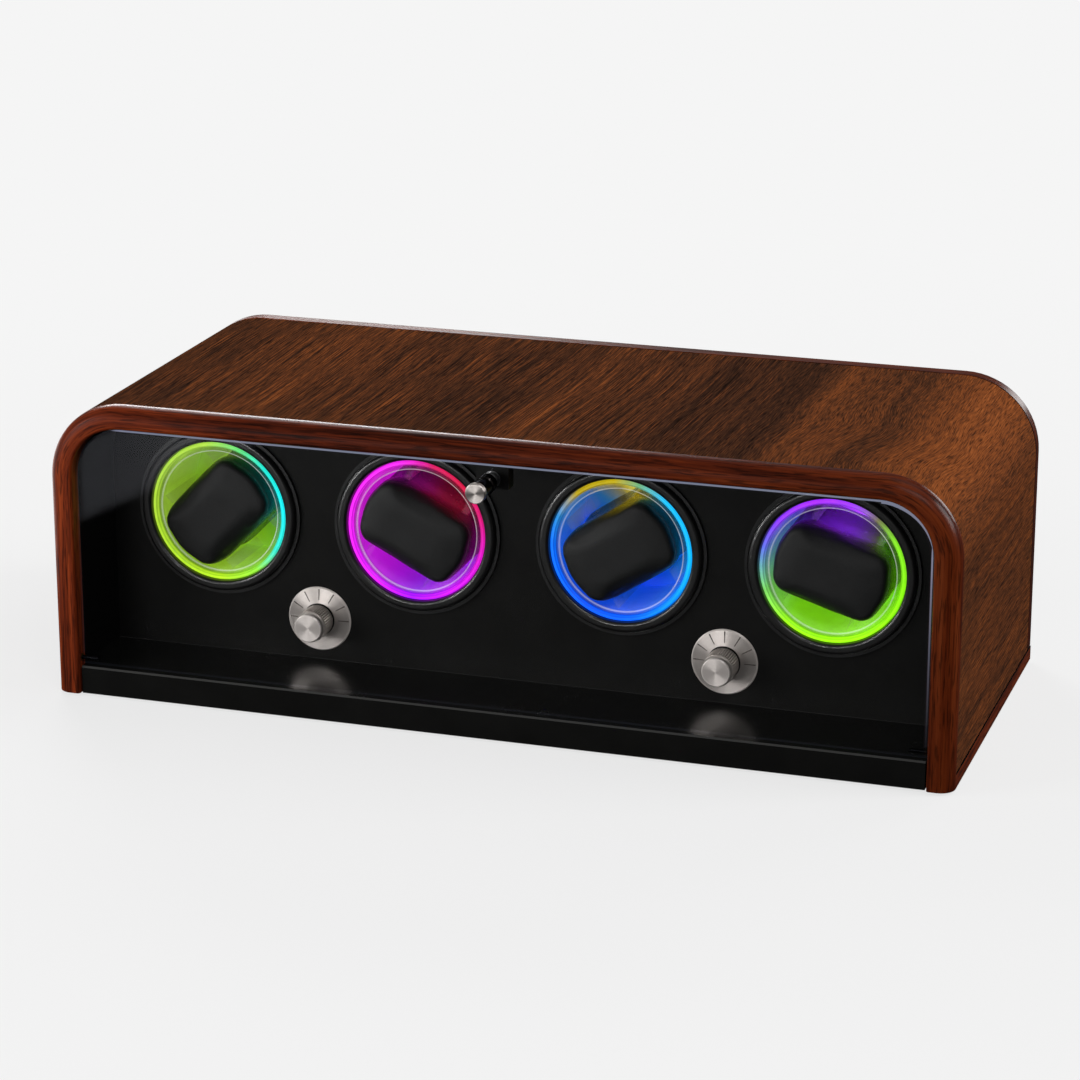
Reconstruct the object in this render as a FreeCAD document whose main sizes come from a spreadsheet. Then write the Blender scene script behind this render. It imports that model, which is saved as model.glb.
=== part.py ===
import FreeCAD, Part
import Sketcher
import math
import operator
import os
import types

# Four-rotor watch winder box. Millimetres, +Z up, the front towards -Y and +X to the right.
# The origin lies on the standing surface, under the middle of the overall box.

SIZES = {
    # Case
    "case_width": 450.0,
    "case_depth": 196.0,
    "case_height": 148.5,
    "side_wall": 12.5,
    "top_wall": 11.0,
    "corner_radius": 38.0,
    "inner_radius": 26.0,
    "fit_gap": 0.3,
    # Wood edgings, grooves and base strips
    "front_trim_depth": 8.0,
    "rear_trim_depth": 9.0,
    "trim_round": 7.4,
    "trim_inner_round": 1.5,
    "rear_trim_round": 2.0,
    "groove_width": 1.2,
    "groove_depth": 2.0,
    "strip_height": 7.0,
    # Base, plinth, cabin floor and feet
    "base_thickness": 11.5,
    "floor_thickness": 2.5,
    "plinth_recess": 2.0,
    "plinth_depth": 10.0,
    "plinth_edge": 0.8,
    "plinth_end_gap": 0.8,
    "foot_height": 1.5,
    "foot_radius": 9.0,
    "foot_taper": 0.8,
    "foot_inset": 24.0,
    # Instrument panel and the battens that hold it and the back panel
    "panel_setback": 49.0,
    "panel_thickness": 5.0,
    "batten_width": 10.0,
    "batten_depth": 12.0,
    "batten_top_gap": 10.0,
    "back_thickness": 4.0,
    "back_recess": 8.0,
    # Screws of the back panel
    "screw_radius": 1.6,
    "screw_length": 10.0,
    "screw_head_radius": 3.2,
    "screw_head_height": 1.8,
    "screw_clearance": 0.1,
    "screw_inset": 15.0,
    # Rotors: the room left beside and over the bezels, and the angle at which each cup stands
    "rotor_margin": 14.65,
    "rotor_headroom": 8.9,
    "tilt_1": 46.0,
    "tilt_2": -27.0,
    "tilt_3": 32.5,
    "tilt_4": -17.0,
    # Rotor cups and their lugs
    "cup_bore": 30.6,
    "cup_wall": 1.6,
    "cup_depth": 43.5,
    "cup_floor": 2.5,
    "cup_proud": 1.5,
    "cup_edge": 0.4,
    "lug_offset": 15.0,
    "lug_thickness": 3.0,
    "lug_setback": 3.0,
    # Cushions
    "cushion_width": 38.4,
    "cushion_corner": 9.0,
    "cushion_clearance": 0.3,
    "cushion_proud": 7.5,
    "cushion_crown": 8.0,
    "cushion_inset": 4.0,
    "cushion_waist": 1.0,
    "cushion_tail": 6.0,
    "cushion_tail_inset": 4.0,
    # Light guides round the cups, and the lamp boards behind them
    "guide_gap": 0.8,
    "guide_wall": 2.2,
    "guide_proud": 2.4,
    "guide_edge": 0.6,
    "guide_flange_width": 5.8,
    "guide_flange": 2.5,
    "guide_floor_gap": 2.5,
    "guide_floor": 2.0,
    "guide_hole": 12.0,
    "lamp_board_radius": 30.0,
    "lamp_board": 1.6,
    # Bezel rings
    "bezel_gap": 0.4,
    "bezel_sleeve": 1.9,
    "bezel_width": 7.0,
    "bezel_lip": 1.6,
    "bezel_lip_width": 1.4,
    "bezel_groove": 0.6,
    "bezel_height": 4.2,
    "bezel_crown": 1.7,
    # Rotor shafts, bushes and the board that carries them
    "neck_radius": 8.0,
    "neck_length": 9.5,
    "pulley_width": 8.0,
    "pulley_lip": 0.4,
    "collar_radius": 6.0,
    "collar_length": 2.5,
    "shaft_radius": 4.0,
    "shaft_length": 14.5,
    "bush_radius": 7.0,
    "bush_length": 10.0,
    "running_clearance": 0.05,
    "bearing_gap": 4.0,
    "bearing_thickness": 6.0,
    "bearing_head": 18.5,
    # Motors, pulleys and belts
    "motor_drop": 37.5,
    "gearbox_radius": 16.0,
    "gearbox_length": 16.0,
    "motor_radius": 12.0,
    "motor_length": 22.0,
    "motor_shaft_radius": 3.0,
    "motor_shaft_depth": 6.0,
    "motor_boss_hole": 8.0,
    "rotor_belt_radius": 17.4,
    "motor_belt_radius": 8.7,
    "belt_radius": 1.5,
    "belt_gap": 0.3,
    # Selectors
    "selector_height": 35.0,
    "plate_radius": 16.4,
    "plate_thickness": 1.4,
    "plate_edge": 0.5,
    "knob_radius": 7.8,
    "knob_length": 13.8,
    "knob_edge": 0.8,
    "knob_gap": 0.6,
    "knob_cap_radius": 7.0,
    "knob_cap_height": 1.3,
    "knob_cap_edge": 0.4,
    "spindle_radius": 2.5,
    "spindle_depth": 8.0,
    "switch_size": 18.0,
    "switch_depth": 14.0,
    "switch_neck": 3.6,
    "switch_neck_clearance": 0.2,
    # Control board on its standoffs
    "board_width": 70.0,
    "board_height": 50.0,
    "board_thickness": 1.6,
    "board_drop": 2.5,
    "board_margin": 5.0,
    "standoff_radius": 3.0,
    "standoff_length": 6.0,
    "chip_size": 14.0,
    "chip_height": 2.4,
    "capacitor_radius": 5.0,
    "capacitor_height": 13.0,
    "part_offset": 20.0,
    # Low-voltage inlet
    "jack_inset": 62.5,
    "jack_height": 28.0,
    "jack_radius": 5.5,
    "jack_length": 14.0,
    "jack_flange_radius": 7.0,
    "jack_flange": 1.5,
    "jack_clearance": 0.2,
    "jack_bore": 2.85,
    "jack_depth": 10.0,
    "jack_pin": 1.05,
    "jack_pin_setback": 1.0,
    # Door pane, its pivots and its catch
    "pane_recess": 3.0,
    "pane_thickness": 4.0,
    "pane_gap": 1.0,
    "pane_bevel": 1.2,
    "axis_height": 3.8,
    "pin_radius": 1.0,
    "pin_depth": 8.0,
    "pin_end_gap": 0.3,
    "pivot_radius": 2.0,
    "pivot_length": 5.0,
    "catch_width": 16.0,
    "catch_edge": 0.5,
    "catch_depth": 7.2,
    "magnet_radius": 4.0,
    "magnet_length": 3.0,
    # Door pull and its screw
    "pull_drop": 10.0,
    "pull_length": 18.5,
    "pull_radius": 4.7,
    "pull_foot": 1.4,
    "pull_neck_radius": 3.5,
    "pull_neck": 1.4,
    "pull_step": 0.5,
    "pull_ring": 2.2,
    "pull_cap_radius": 5.0,
    "pull_cap_height": 2.5,
    "pull_cap_edge": 0.5,
    "pull_screw_radius": 2.0,
    "pull_screw_depth": 9.0,
    "pull_screw_head": 3.6,
    "pull_screw_head_height": 2.4,
    "pull_screw_clearance": 0.05,
    "pull_hole_clearance": 0.2,
}

doc = FreeCAD.newDocument("watch_winder")
sheet = doc.addObject("Spreadsheet::Sheet", "Sizes")
for row, (name, number) in enumerate(SIZES.items(), 1):
    sheet.set(f"A{row}", name)
    sheet.set(f"B{row}", str(number))
    sheet.setAlias(f"B{row}", name)
doc.recompute()

OPERATORS = {"+": operator.add, "-": operator.sub, "*": operator.mul, "/": operator.truediv}


class Size:
    """A length with its value and the sheet expression that gives it."""

    def __init__(self, value, text):
        self.value = value
        self.text = text

    def joined(self, sign, other, turned=False):
        first, second = (as_size(other), self) if turned else (self, as_size(other))
        return Size(OPERATORS[sign](first.value, second.value), f"({first.text} {sign} {second.text})")

    def __add__(self, other):
        return self.joined("+", other)

    def __radd__(self, other):
        return self.joined("+", other, turned=True)

    def __sub__(self, other):
        return self.joined("-", other)

    def __rsub__(self, other):
        return self.joined("-", other, turned=True)

    def __mul__(self, other):
        return self.joined("*", other)

    def __rmul__(self, other):
        return self.joined("*", other, turned=True)

    def __truediv__(self, other):
        return self.joined("/", other)

    def __neg__(self):
        return 0 - self


def as_size(number):
    return number if isinstance(number, Size) else Size(float(number), f"{number:g}")


def root(size):
    return Size(math.sqrt(size.value), f"sqrt({size.text})")


def other_leg(hypotenuse, leg):
    return root(hypotenuse * hypotenuse - leg * leg)


S = types.SimpleNamespace(**{name: Size(sheet.get(name), f"Sizes.{name}") for name in SIZES})
nodes = []


def keep(item):
    """Note a finished sub-part, to be written to its own file."""
    nodes.append(item)
    return item


def bind(item, target, size):
    item.setExpression(target, as_size(size).text)


def new_body(label):
    body = doc.addObject("PartDesign::Body", label)
    body.Label = label
    return body


def place(item, x=0, y=0, z=0, turn=None):
    """Stand a sub-part at (x, y, z), turned about its own Y axis by turn degrees."""
    if turn is not None:
        # The first angle sets the axis, so it is the wanted one and not zero
        rotation = FreeCAD.Rotation(FreeCAD.Vector(0, 1, 0), as_size(turn).value)
        item.Placement = FreeCAD.Placement(FreeCAD.Vector(), rotation)
        bind(item, "Placement.Rotation.Angle", turn)
    for letter, size in zip("xyz", (x, y, z)):
        bind(item, f"Placement.Base.{letter}", size)
    return item


def origin_plane(body, role):
    return next(plane for plane in body.Origin.OriginFeatures if plane.Role == role)


def sketch_on(body, role, name, offset=0):
    """An empty sketch on one of the body's origin planes, moved along the plane's normal."""
    sketch = body.newObject("Sketcher::SketchObject", name)
    sketch.AttachmentSupport = (origin_plane(body, role), [""])
    sketch.MapMode = "FlatFace"
    bind(sketch, "AttachmentOffset.Base.z", offset)
    return sketch


def add_bound(sketch, rules):
    """Add constraints; a rule with a size is bound to the sheet."""
    indices = sketch.addConstraint([rule for rule, size in rules])
    for index, (rule, size) in zip(indices, rules):
        if size is not None:
            sketch.setExpression(f"Constraints[{index}]", size.text)


def point_rules(geometry, vertex, x, y):
    rules = []
    for kind, size, axis in (("DistanceX", as_size(x), -2), ("DistanceY", as_size(y), -1)):
        if abs(size.value) < 1e-9:
            rules.append((Sketcher.Constraint("PointOnObject", geometry, vertex, axis), None))
        else:
            rules.append((Sketcher.Constraint(kind, -1, 1, geometry, vertex, size.value), size))
    return rules


def arc_between(start, end, radius):
    """The short arc from start to end: a positive radius turns left, a negative one right."""
    along = end - start
    left = FreeCAD.Vector(-along.y, along.x, 0).normalize()
    rise = math.sqrt(max(radius * radius - along.Length * along.Length / 4, 0))
    centre = (start + end) / 2 + left * math.copysign(rise, radius)
    first, last = (start, end) if radius > 0 else (end, start)
    angles = [math.atan2(point.y - centre.y, point.x - centre.x) for point in (first, last)]
    circle = Part.Circle(centre, FreeCAD.Vector(0, 0, 1), abs(radius))
    sweep = (angles[1] - angles[0]) % (2 * math.pi)
    return Part.ArcOfCircle(circle, angles[0], angles[0] + sweep)


def draw_outline(sketch, points):
    """A closed outline through (x, y); (x, y, r) makes the run to the next point an arc of radius r."""
    vectors = [FreeCAD.Vector(as_size(point[0]).value, as_size(point[1]).value, 0) for point in points]
    runs = []
    rules = []
    for index, point in enumerate(points):
        start, end = vectors[index], vectors[(index + 1) % len(points)]
        if len(point) == 2:
            runs.append((sketch.addGeometry(Part.LineSegment(start, end)), 1, 2))
            continue
        radius = point[2]
        geometry = sketch.addGeometry(arc_between(start, end, radius.value))
        runs.append((geometry, 1, 2) if radius.value > 0 else (geometry, 2, 1))
        size = radius if radius.value > 0 else -radius
        rules.append((Sketcher.Constraint("Radius", geometry, size.value), size))
    for index, (geometry, first, last) in enumerate(runs):
        before = runs[index - 1]
        rules.append((Sketcher.Constraint("Coincident", before[0], before[2], geometry, first), None))
        rules.extend(point_rules(geometry, first, *points[index][:2]))
    add_bound(sketch, rules)


def draw_circle(sketch, x, y, radius):
    centre = FreeCAD.Vector(as_size(x).value, as_size(y).value, 0)
    geometry = sketch.addGeometry(Part.Circle(centre, FreeCAD.Vector(0, 0, 1), radius.value))
    rules = point_rules(geometry, 3, x, y)
    rules.append((Sketcher.Constraint("Radius", geometry, radius.value), radius))
    add_bound(sketch, rules)


def feature(body, kind, name, sketch, length, symmetric=False):
    item = body.newObject(f"PartDesign::{kind}", name)
    item.Profile = sketch
    if symmetric:
        item.SideType = "Symmetric"
    bind(item, "Length", length)
    return item


def add_slab(body, name, front_y, rear_y, points=(), holes=()):
    """Pad an outline in the XZ plane, with round holes, from rear_y forward to front_y."""
    sketch = sketch_on(body, "XZ_Plane", f"{name}_sketch", -rear_y)
    if points:
        draw_outline(sketch, points)
    for x, z, radius in holes:
        draw_circle(sketch, x, z, radius)
    return feature(body, "Pad", f"{name}_pad", sketch, rear_y - front_y)


def slab(label, front_y, rear_y, points=(), holes=()):
    body = new_body(label)
    add_slab(body, label, front_y, rear_y, points, holes)
    return body


def turned(label, profile, x=0, y=0, z=0, turn=None):
    """A piece turned about a Y axis, from a profile of (radius, y) points."""
    body = new_body(label)
    sketch = sketch_on(body, "XY_Plane", f"{label}_sketch")
    draw_outline(sketch, profile)
    item = body.newObject("PartDesign::Revolution", f"{label}_turn")
    item.Profile = sketch
    item.ReferenceAxis = (sketch, ["V_Axis"])
    item.Angle = 360
    return place(body, x, y, z, turn)


def block(label, x, y, z):
    """A plain block between the (low, high) pairs of each axis."""
    item = doc.addObject("Part::Box", label)
    item.Label = label
    for side, (low, high) in zip(("Length", "Width", "Height"), (x, y, z)):
        bind(item, side, high - low)
    return place(item, x[0], y[0], z[0])


def rod(label, radius, x, y, z, length, axis):
    """A cylinder that starts at (x, y, z) and runs along +X or +Y."""
    item = doc.addObject("Part::Cylinder", label)
    item.Label = label
    bind(item, "Radius", radius)
    bind(item, "Height", length)
    turn = {"X": (FreeCAD.Vector(0, 1, 0), 90), "Y": (FreeCAD.Vector(1, 0, 0), -90)}[axis]
    item.Placement = FreeCAD.Placement(FreeCAD.Vector(), FreeCAD.Rotation(*turn))
    return place(item, x, y, z)


def group(label, pieces):
    item = doc.addObject("Part::Compound", label)
    item.Label = label
    item.Links = pieces
    return item


def cut(label, base, tool):
    item = doc.addObject("Part::Cut", label)
    item.Label = label
    item.Base = base
    item.Tool = tool
    return item


def round_edges(body, base, name, test, y, radius, kind="Fillet"):
    """Round or bevel those edges of a feature, in the plane at y, that pass a test."""
    doc.recompute()
    edges = list(enumerate(base.Shape.Edges, 1))
    names = [f"Edge{index}" for index, edge in edges if lies_at(edge, y) and test(edge)]
    item = body.newObject(f"PartDesign::{kind}", name)
    item.Base = (base, names)
    bind(item, "Radius" if kind == "Fillet" else "Size", radius)
    return item


def near(first, second):
    return abs(first - second) < 1e-4


def lies_at(edge, y):
    return near(edge.BoundBox.YMin, y.value) and near(edge.BoundBox.YMax, y.value)


# Planes that several pieces share
half_width = S.case_width / 2
inner_half = half_width - S.side_wall
case_bottom = S.foot_height
case_top = S.foot_height + S.case_height
inner_top = case_top - S.top_wall
base_top = case_bottom + S.base_thickness
floor_top = base_top + S.floor_thickness
strip_top = case_bottom + S.strip_height
shell_bottom = strip_top + S.groove_width
case_front = (S.pull_length - S.pane_recess - S.case_depth) / 2
case_rear = case_front + S.case_depth
shell_front = case_front + S.front_trim_depth
shell_rear = case_rear - S.rear_trim_depth
plinth_front = case_front + S.plinth_recess
base_front = plinth_front + S.plinth_depth
panel_front = case_front + S.panel_setback
panel_rear = panel_front + S.panel_thickness
back_rear = case_rear - S.back_recess
back_front = back_rear - S.back_thickness
batten_top = inner_top - S.inner_radius - S.batten_top_gap
selector_z = case_bottom + S.selector_height
jack_x = S.jack_inset - inner_half
sides = {"left": -1, "right": 1}


def arch(half, inner, top, under, bottom, radius, inner_radius):
    """An inverted U with rounded shoulders."""
    return [
        (-half, bottom),
        (-half, top - radius, -radius),
        (radius - half, top),
        (half - radius, top, -radius),
        (half, top - radius),
        (half, bottom),
        (inner, bottom),
        (inner, under - inner_radius, inner_radius),
        (inner - inner_radius, under),
        (inner_radius - inner, under, inner_radius),
        (-inner, under - inner_radius),
        (-inner, bottom),
    ]


def rounded_plate(half, top, bottom, radius):
    """A plate with a straight foot and rounded shoulders."""
    return [
        (-half, bottom),
        (-half, top - radius, -radius),
        (radius - half, top),
        (half - radius, top, -radius),
        (half, top - radius),
        (half, bottom),
    ]


def rectangle(x0, x1, z0, z1):
    return [(x0, z0), (x0, z1), (x1, z1), (x1, z0)]


def on_outer_arch(edge):
    """True for the outer edges of an arch's end face."""
    if hasattr(edge.Curve, "Radius"):
        return near(edge.Curve.Radius, S.corner_radius.value)
    box = edge.BoundBox
    upright = near(box.XMin, box.XMax) and near(abs(box.XMin), half_width.value)
    return upright or near(box.ZMin, case_top.value)


def on_inner_arch(edge):
    """True for the inner edges of an arch's end face."""
    if hasattr(edge.Curve, "Radius"):
        return near(edge.Curve.Radius, S.inner_radius.value)
    box = edge.BoundBox
    upright = near(box.XMin, box.XMax) and near(abs(box.XMin), inner_half.value)
    return upright or (near(box.ZMin, inner_top.value) and near(box.ZMax, inner_top.value))


def make_case_shell():
    """Veneered shell; its last run is stepped in to leave the dark groove before the rear edging."""
    body = new_body("case_shell")
    step_y = shell_rear - S.groove_width
    under = (inner_top, shell_bottom)
    full = arch(half_width, inner_half, case_top, *under, S.corner_radius, S.inner_radius)
    stepped_half = half_width - S.groove_depth
    stepped_top = case_top - S.groove_depth
    stepped_radius = S.corner_radius - S.groove_depth
    stepped = arch(stepped_half, inner_half, stepped_top, *under, stepped_radius, S.inner_radius)
    add_slab(body, "shell", shell_front, step_y, full)
    add_slab(body, "groove", step_y, shell_rear, stepped)
    return keep(body)


def make_trims():
    """Solid-wood edgings; the front one has blind holes for the door's pivot bushes."""
    front = new_body("front_trim")
    walls = (half_width, inner_half, case_top, inner_top)
    radii = (S.corner_radius, S.inner_radius)
    add_slab(front, "front_trim", case_front, shell_front, arch(*walls, case_bottom, *radii))
    sketch = sketch_on(front, "YZ_Plane", "pivot_sketch")
    draw_circle(sketch, door_y, door_z, S.pivot_radius)
    hole_reach = 2 * (inner_half + S.pivot_length)
    hole = feature(front, "Pocket", "pivot_holes", sketch, hole_reach, symmetric=True)
    outer = round_edges(front, hole, "outer_round", on_outer_arch, case_front, S.trim_round)
    round_edges(front, outer, "inner_round", on_inner_arch, case_front, S.trim_inner_round)
    rear = new_body("rear_trim")
    pad = add_slab(rear, "rear_trim", shell_rear, case_rear, arch(*walls, shell_bottom, *radii))
    round_edges(rear, pad, "rear_round", on_outer_arch, case_rear, S.rear_trim_round)
    keep(front)
    keep(rear)


def make_base():
    """Base board with its wood strips, feet, plinth rail and the cabin's floor."""
    keep(block("base_board", (-inner_half, inner_half), (base_front, back_rear), (case_bottom, base_top)))
    strips = []
    for side, x in (("left", (-half_width, -inner_half)), ("right", (inner_half, half_width))):
        strips.append(block(f"base_strip_{side}", x, (shell_front, case_rear), (case_bottom, strip_top)))
    keep(group("base_strips", strips))
    plinth = new_body("front_plinth")
    sketch = sketch_on(plinth, "YZ_Plane", "plinth_sketch")
    draw_outline(sketch, [
        (plinth_front, case_bottom),
        (base_front, case_bottom),
        (base_front, floor_top),
        (plinth_front + S.plinth_edge, floor_top),
        (plinth_front, floor_top - S.plinth_edge),
    ])
    feature(plinth, "Pad", "plinth_pad", sketch, 2 * (inner_half - S.plinth_end_gap), symmetric=True)
    keep(plinth)
    floor_half = inner_half - S.fit_gap
    keep(block("cabin_floor", (-floor_half, floor_half), (base_front, panel_front), (base_top, floor_top)))
    feet = []
    for side, sign in sides.items():
        for end, y in (("front", case_front + S.foot_inset), ("rear", case_rear - S.foot_inset)):
            foot = doc.addObject("Part::Cone", f"foot_{end}_{side}")
            bind(foot, "Radius1", S.foot_radius - S.foot_taper)
            bind(foot, "Radius2", S.foot_radius)
            bind(foot, "Height", S.foot_height)
            feet.append(place(foot, (inner_half - S.foot_inset) * sign, y, 0))
    keep(group("rubber_feet", feet))


def make_panels():
    """Instrument panel, back panel with its screws, and the battens that both are fixed to."""
    half = inner_half - S.fit_gap
    plate = rounded_plate(half, inner_top - S.fit_gap, base_top, S.inner_radius - S.fit_gap)
    rotor_holes = [(x, rotor_z, bezel_sleeve + S.fit_gap) for x in rotor_xs]
    neck_hole = S.switch_neck + S.switch_neck_clearance
    selector_holes = [(rotor_pitch * sign, selector_z, neck_hole) for sign in sides.values()]
    keep(slab("front_panel", panel_front, panel_rear, plate, rotor_holes + selector_holes))
    screw_z = (base_top + S.screw_inset, batten_top - S.screw_inset)
    screw_x = inner_half - S.batten_width / 2
    spots = [(screw_x * sign, z) for sign in sides.values() for z in screw_z]
    shank = S.screw_radius + S.screw_clearance
    jack_hole = (jack_x, base_top + S.jack_height, S.jack_radius + S.jack_clearance)
    keep(slab("back_panel", back_front, back_rear, plate, [(x, z, shank) for x, z in spots] + [jack_hole]))
    battens = []
    for side, sign in sides.items():
        outline = rectangle((inner_half - S.batten_width) * sign, inner_half * sign, base_top, batten_top)
        pilot = [(screw_x * sign, z, shank) for z in screw_z]
        battens.append(slab(f"front_batten_{side}", panel_rear, panel_rear + S.batten_depth, outline))
        battens.append(slab(f"rear_batten_{side}", back_front - S.batten_depth, back_front, outline, pilot))
    keep(group("battens", battens))
    profile = [
        (0, back_front - S.screw_length),
        (S.screw_radius, back_front - S.screw_length),
        (S.screw_radius, back_rear),
        (S.screw_head_radius, back_rear),
        (S.screw_head_radius - S.screw_head_height / 2, back_rear + S.screw_head_height),
        (0, back_rear + S.screw_head_height),
    ]
    screws = [turned(f"back_screw_{index}", profile, x, 0, z) for index, (x, z) in enumerate(spots, 1)]
    keep(group("back_panel_screws", screws))


# Rotor stack, from the cup's rim back to the motor
cup_front = panel_front - S.cup_proud
cup_radius = S.cup_bore + S.cup_wall
cup_seat = cup_front + S.cup_depth
cup_rear = cup_seat + S.cup_floor
guide_front = panel_front - S.guide_proud
guide_bore = cup_radius + S.guide_gap
guide_radius = guide_bore + S.guide_wall
guide_seat = cup_rear + S.guide_floor_gap
guide_rear = guide_seat + S.guide_floor
bezel_bore = guide_radius + S.bezel_gap
bezel_sleeve = bezel_bore + S.bezel_sleeve
bezel_radius = bezel_bore + S.bezel_width
rotor_pitch = (inner_half - S.rotor_margin - bezel_radius) / 1.5
rotor_xs = [rotor_pitch * step for step in (-1.5, -0.5, 0.5, 1.5)]
rotor_z = inner_top - S.rotor_headroom - bezel_radius
rotor_tilts = [S.tilt_1, S.tilt_2, S.tilt_3, S.tilt_4]
pulley_front = cup_rear + S.neck_length
pulley_rear = pulley_front + S.pulley_width
belt_y = pulley_front + S.pulley_width / 2
bearing_front = pulley_rear + S.bearing_gap
bearing_rear = bearing_front + S.bearing_thickness
collar_rear = pulley_rear + S.collar_length
motor_z = rotor_z - S.motor_drop


def make_bezel(index, x):
    """Fixed black ring: a thin outer lip, a fine groove and a rounded band round the light guide."""
    lip_front = panel_front - S.bezel_lip
    crown_front = panel_front - S.bezel_height
    groove_outer = bezel_radius - S.bezel_lip_width
    groove_inner = groove_outer - S.bezel_groove
    return turned(f"bezel_ring_{index}", [
        (bezel_bore, panel_rear),
        (bezel_sleeve, panel_rear),
        (bezel_sleeve, panel_front),
        (bezel_radius, panel_front),
        (bezel_radius, lip_front),
        (groove_outer, lip_front),
        (groove_outer, lip_front + S.bezel_groove),
        (groove_inner, lip_front + S.bezel_groove),
        (groove_inner, crown_front + S.bezel_crown, -S.bezel_crown),
        (groove_inner - S.bezel_crown, crown_front),
        (bezel_bore + S.bezel_crown, crown_front, -S.bezel_crown),
        (bezel_bore, crown_front + S.bezel_crown),
    ], x, 0, rotor_z)


def make_light_guide(index, x):
    """Fixed frosted well: its rim shows as the lit ring, and its flange seats behind the panel."""
    flange_radius = guide_radius + S.guide_flange_width
    return turned(f"light_guide_{index}", [
        (guide_bore, guide_front + S.guide_edge),
        (guide_bore + S.guide_edge, guide_front),
        (guide_radius - S.guide_edge, guide_front),
        (guide_radius, guide_front + S.guide_edge),
        (guide_radius, panel_rear),
        (flange_radius, panel_rear),
        (flange_radius, panel_rear + S.guide_flange),
        (guide_radius, panel_rear + S.guide_flange),
        (guide_radius, guide_rear),
        (S.guide_hole, guide_rear),
        (S.guide_hole, guide_seat),
        (guide_bore, guide_seat),
    ], x, 0, rotor_z)


def make_lamp_board(index, x):
    return turned(f"led_ring_{index}", [
        (S.guide_hole, guide_rear),
        (S.lamp_board_radius, guide_rear),
        (S.lamp_board_radius, guide_rear + S.lamp_board),
        (S.guide_hole, guide_rear + S.lamp_board),
    ], x, 0, rotor_z)


def make_cup(index, x, tilt):
    """Clear turning cup; four lugs stand in it beside the corners of the cushion."""
    cup = turned(f"rotor_cup_{index}", [
        (0, cup_seat),
        (S.cup_bore, cup_seat),
        (S.cup_bore, cup_front + S.cup_edge),
        (S.cup_bore + S.cup_edge, cup_front),
        (cup_radius - S.cup_edge, cup_front),
        (cup_radius, cup_front + S.cup_edge),
        (cup_radius, cup_rear),
        (0, cup_rear),
    ], x, 0, rotor_z, 360 - tilt)
    sketch = sketch_on(cup, "XZ_Plane", f"lugs_{index}_sketch", -cup_rear)
    wall_middle = S.cup_bore + S.cup_wall / 2
    near_x, far_x = S.lug_offset, S.lug_offset + S.lug_thickness
    foot = S.cushion_width / 2 + S.cushion_clearance
    for across in (-1, 1):
        for up in (-1, 1):
            draw_outline(sketch, [
                (near_x * across, foot * up),
                (near_x * across, other_leg(wall_middle, near_x) * up),
                (far_x * across, other_leg(wall_middle, far_x) * up),
                (far_x * across, foot * up),
            ])
    feature(cup, "Pad", f"lugs_{index}_pad", sketch, cup_rear - cup_front - S.lug_setback)
    return cup


def cushion_outline(inset):
    """Rounded block that fills the cup's bore, drawn in by inset all round; its ends follow the bore."""
    half = S.cushion_width / 2 - inset
    corner = S.cushion_corner - inset / 2
    reach = S.cup_bore - S.cushion_clearance - inset
    end = corner + other_leg(reach - corner, half - corner)
    return [
        (end, corner - half, S.cup_bore),
        (end, half - corner, corner),
        (end - corner, half),
        (corner - end, half, corner),
        (-end, half - corner, S.cup_bore),
        (-end, corner - half, corner),
        (corner - end, -half),
        (end - corner, -half, corner),
    ]


def make_cushion(index, x, tilt):
    """Stuffed leather cushion: a crowned front, sides drawn in at mid-depth and a softened back."""
    body = new_body(f"cushion_{index}")
    front = cup_front - S.cushion_proud
    rear = cup_seat - S.cushion_clearance
    # The crown is a quarter ellipse, cut at these shares of its depth
    crown_shares = (0, 0.2, 0.5, 1)
    crown = [(share, 1 - math.sqrt(1 - (1 - share) ** 2)) for share in crown_shares]
    sections = [(front + S.cushion_crown * share, S.cushion_inset * drawn_in) for share, drawn_in in crown]
    sections.append(((front + rear) / 2, S.cushion_waist))
    sections.append((rear - S.cushion_tail, as_size(0)))
    sections.append((rear - S.cushion_tail / 4, S.cushion_tail_inset / 3))
    sections.append((rear, S.cushion_tail_inset))
    sketches = []
    for number, (y, inset) in enumerate(sections, 1):
        sketch = sketch_on(body, "XZ_Plane", f"cushion_{index}_section_{number}", -y)
        draw_outline(sketch, cushion_outline(inset))
        sketches.append(sketch)
    loft = body.newObject("PartDesign::AdditiveLoft", f"cushion_{index}_loft")
    loft.Profile = sketches[0]
    loft.Sections = sketches[1:]
    return place(body, x, 0, rotor_z, 360 - tilt)


def groove_points(belt_radius):
    """Rim of a pulley with a round groove for the belt, from front to rear."""
    rim = belt_radius - S.pulley_lip
    groove = S.belt_radius + S.belt_gap
    half_mouth = other_leg(groove, S.pulley_lip)
    return rim, [(rim, belt_y - half_mouth, -groove), (rim, belt_y + half_mouth)]


def make_rotor_shaft(index, x):
    """Hub, belt pulley and shaft behind a cup, in one turned piece."""
    rim, groove = groove_points(S.rotor_belt_radius)
    shaft_end = collar_rear + S.shaft_length
    return turned(f"rotor_shaft_{index}", [
        (0, cup_rear),
        (S.neck_radius, cup_rear),
        (S.neck_radius, pulley_front),
        (rim, pulley_front),
        *groove,
        (rim, pulley_rear),
        (S.collar_radius, pulley_rear),
        (S.collar_radius, collar_rear),
        (S.shaft_radius, collar_rear),
        (S.shaft_radius, shaft_end),
        (0, shaft_end),
    ], x, 0, rotor_z)


def make_bush(index, x):
    bush_front = collar_rear + S.fit_gap
    bore = S.shaft_radius + S.running_clearance
    return turned(f"shaft_bush_{index}", [
        (bore, bush_front),
        (S.bush_radius, bush_front),
        (S.bush_radius, bush_front + S.bush_length),
        (bore, bush_front + S.bush_length),
    ], x, 0, rotor_z)


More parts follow.
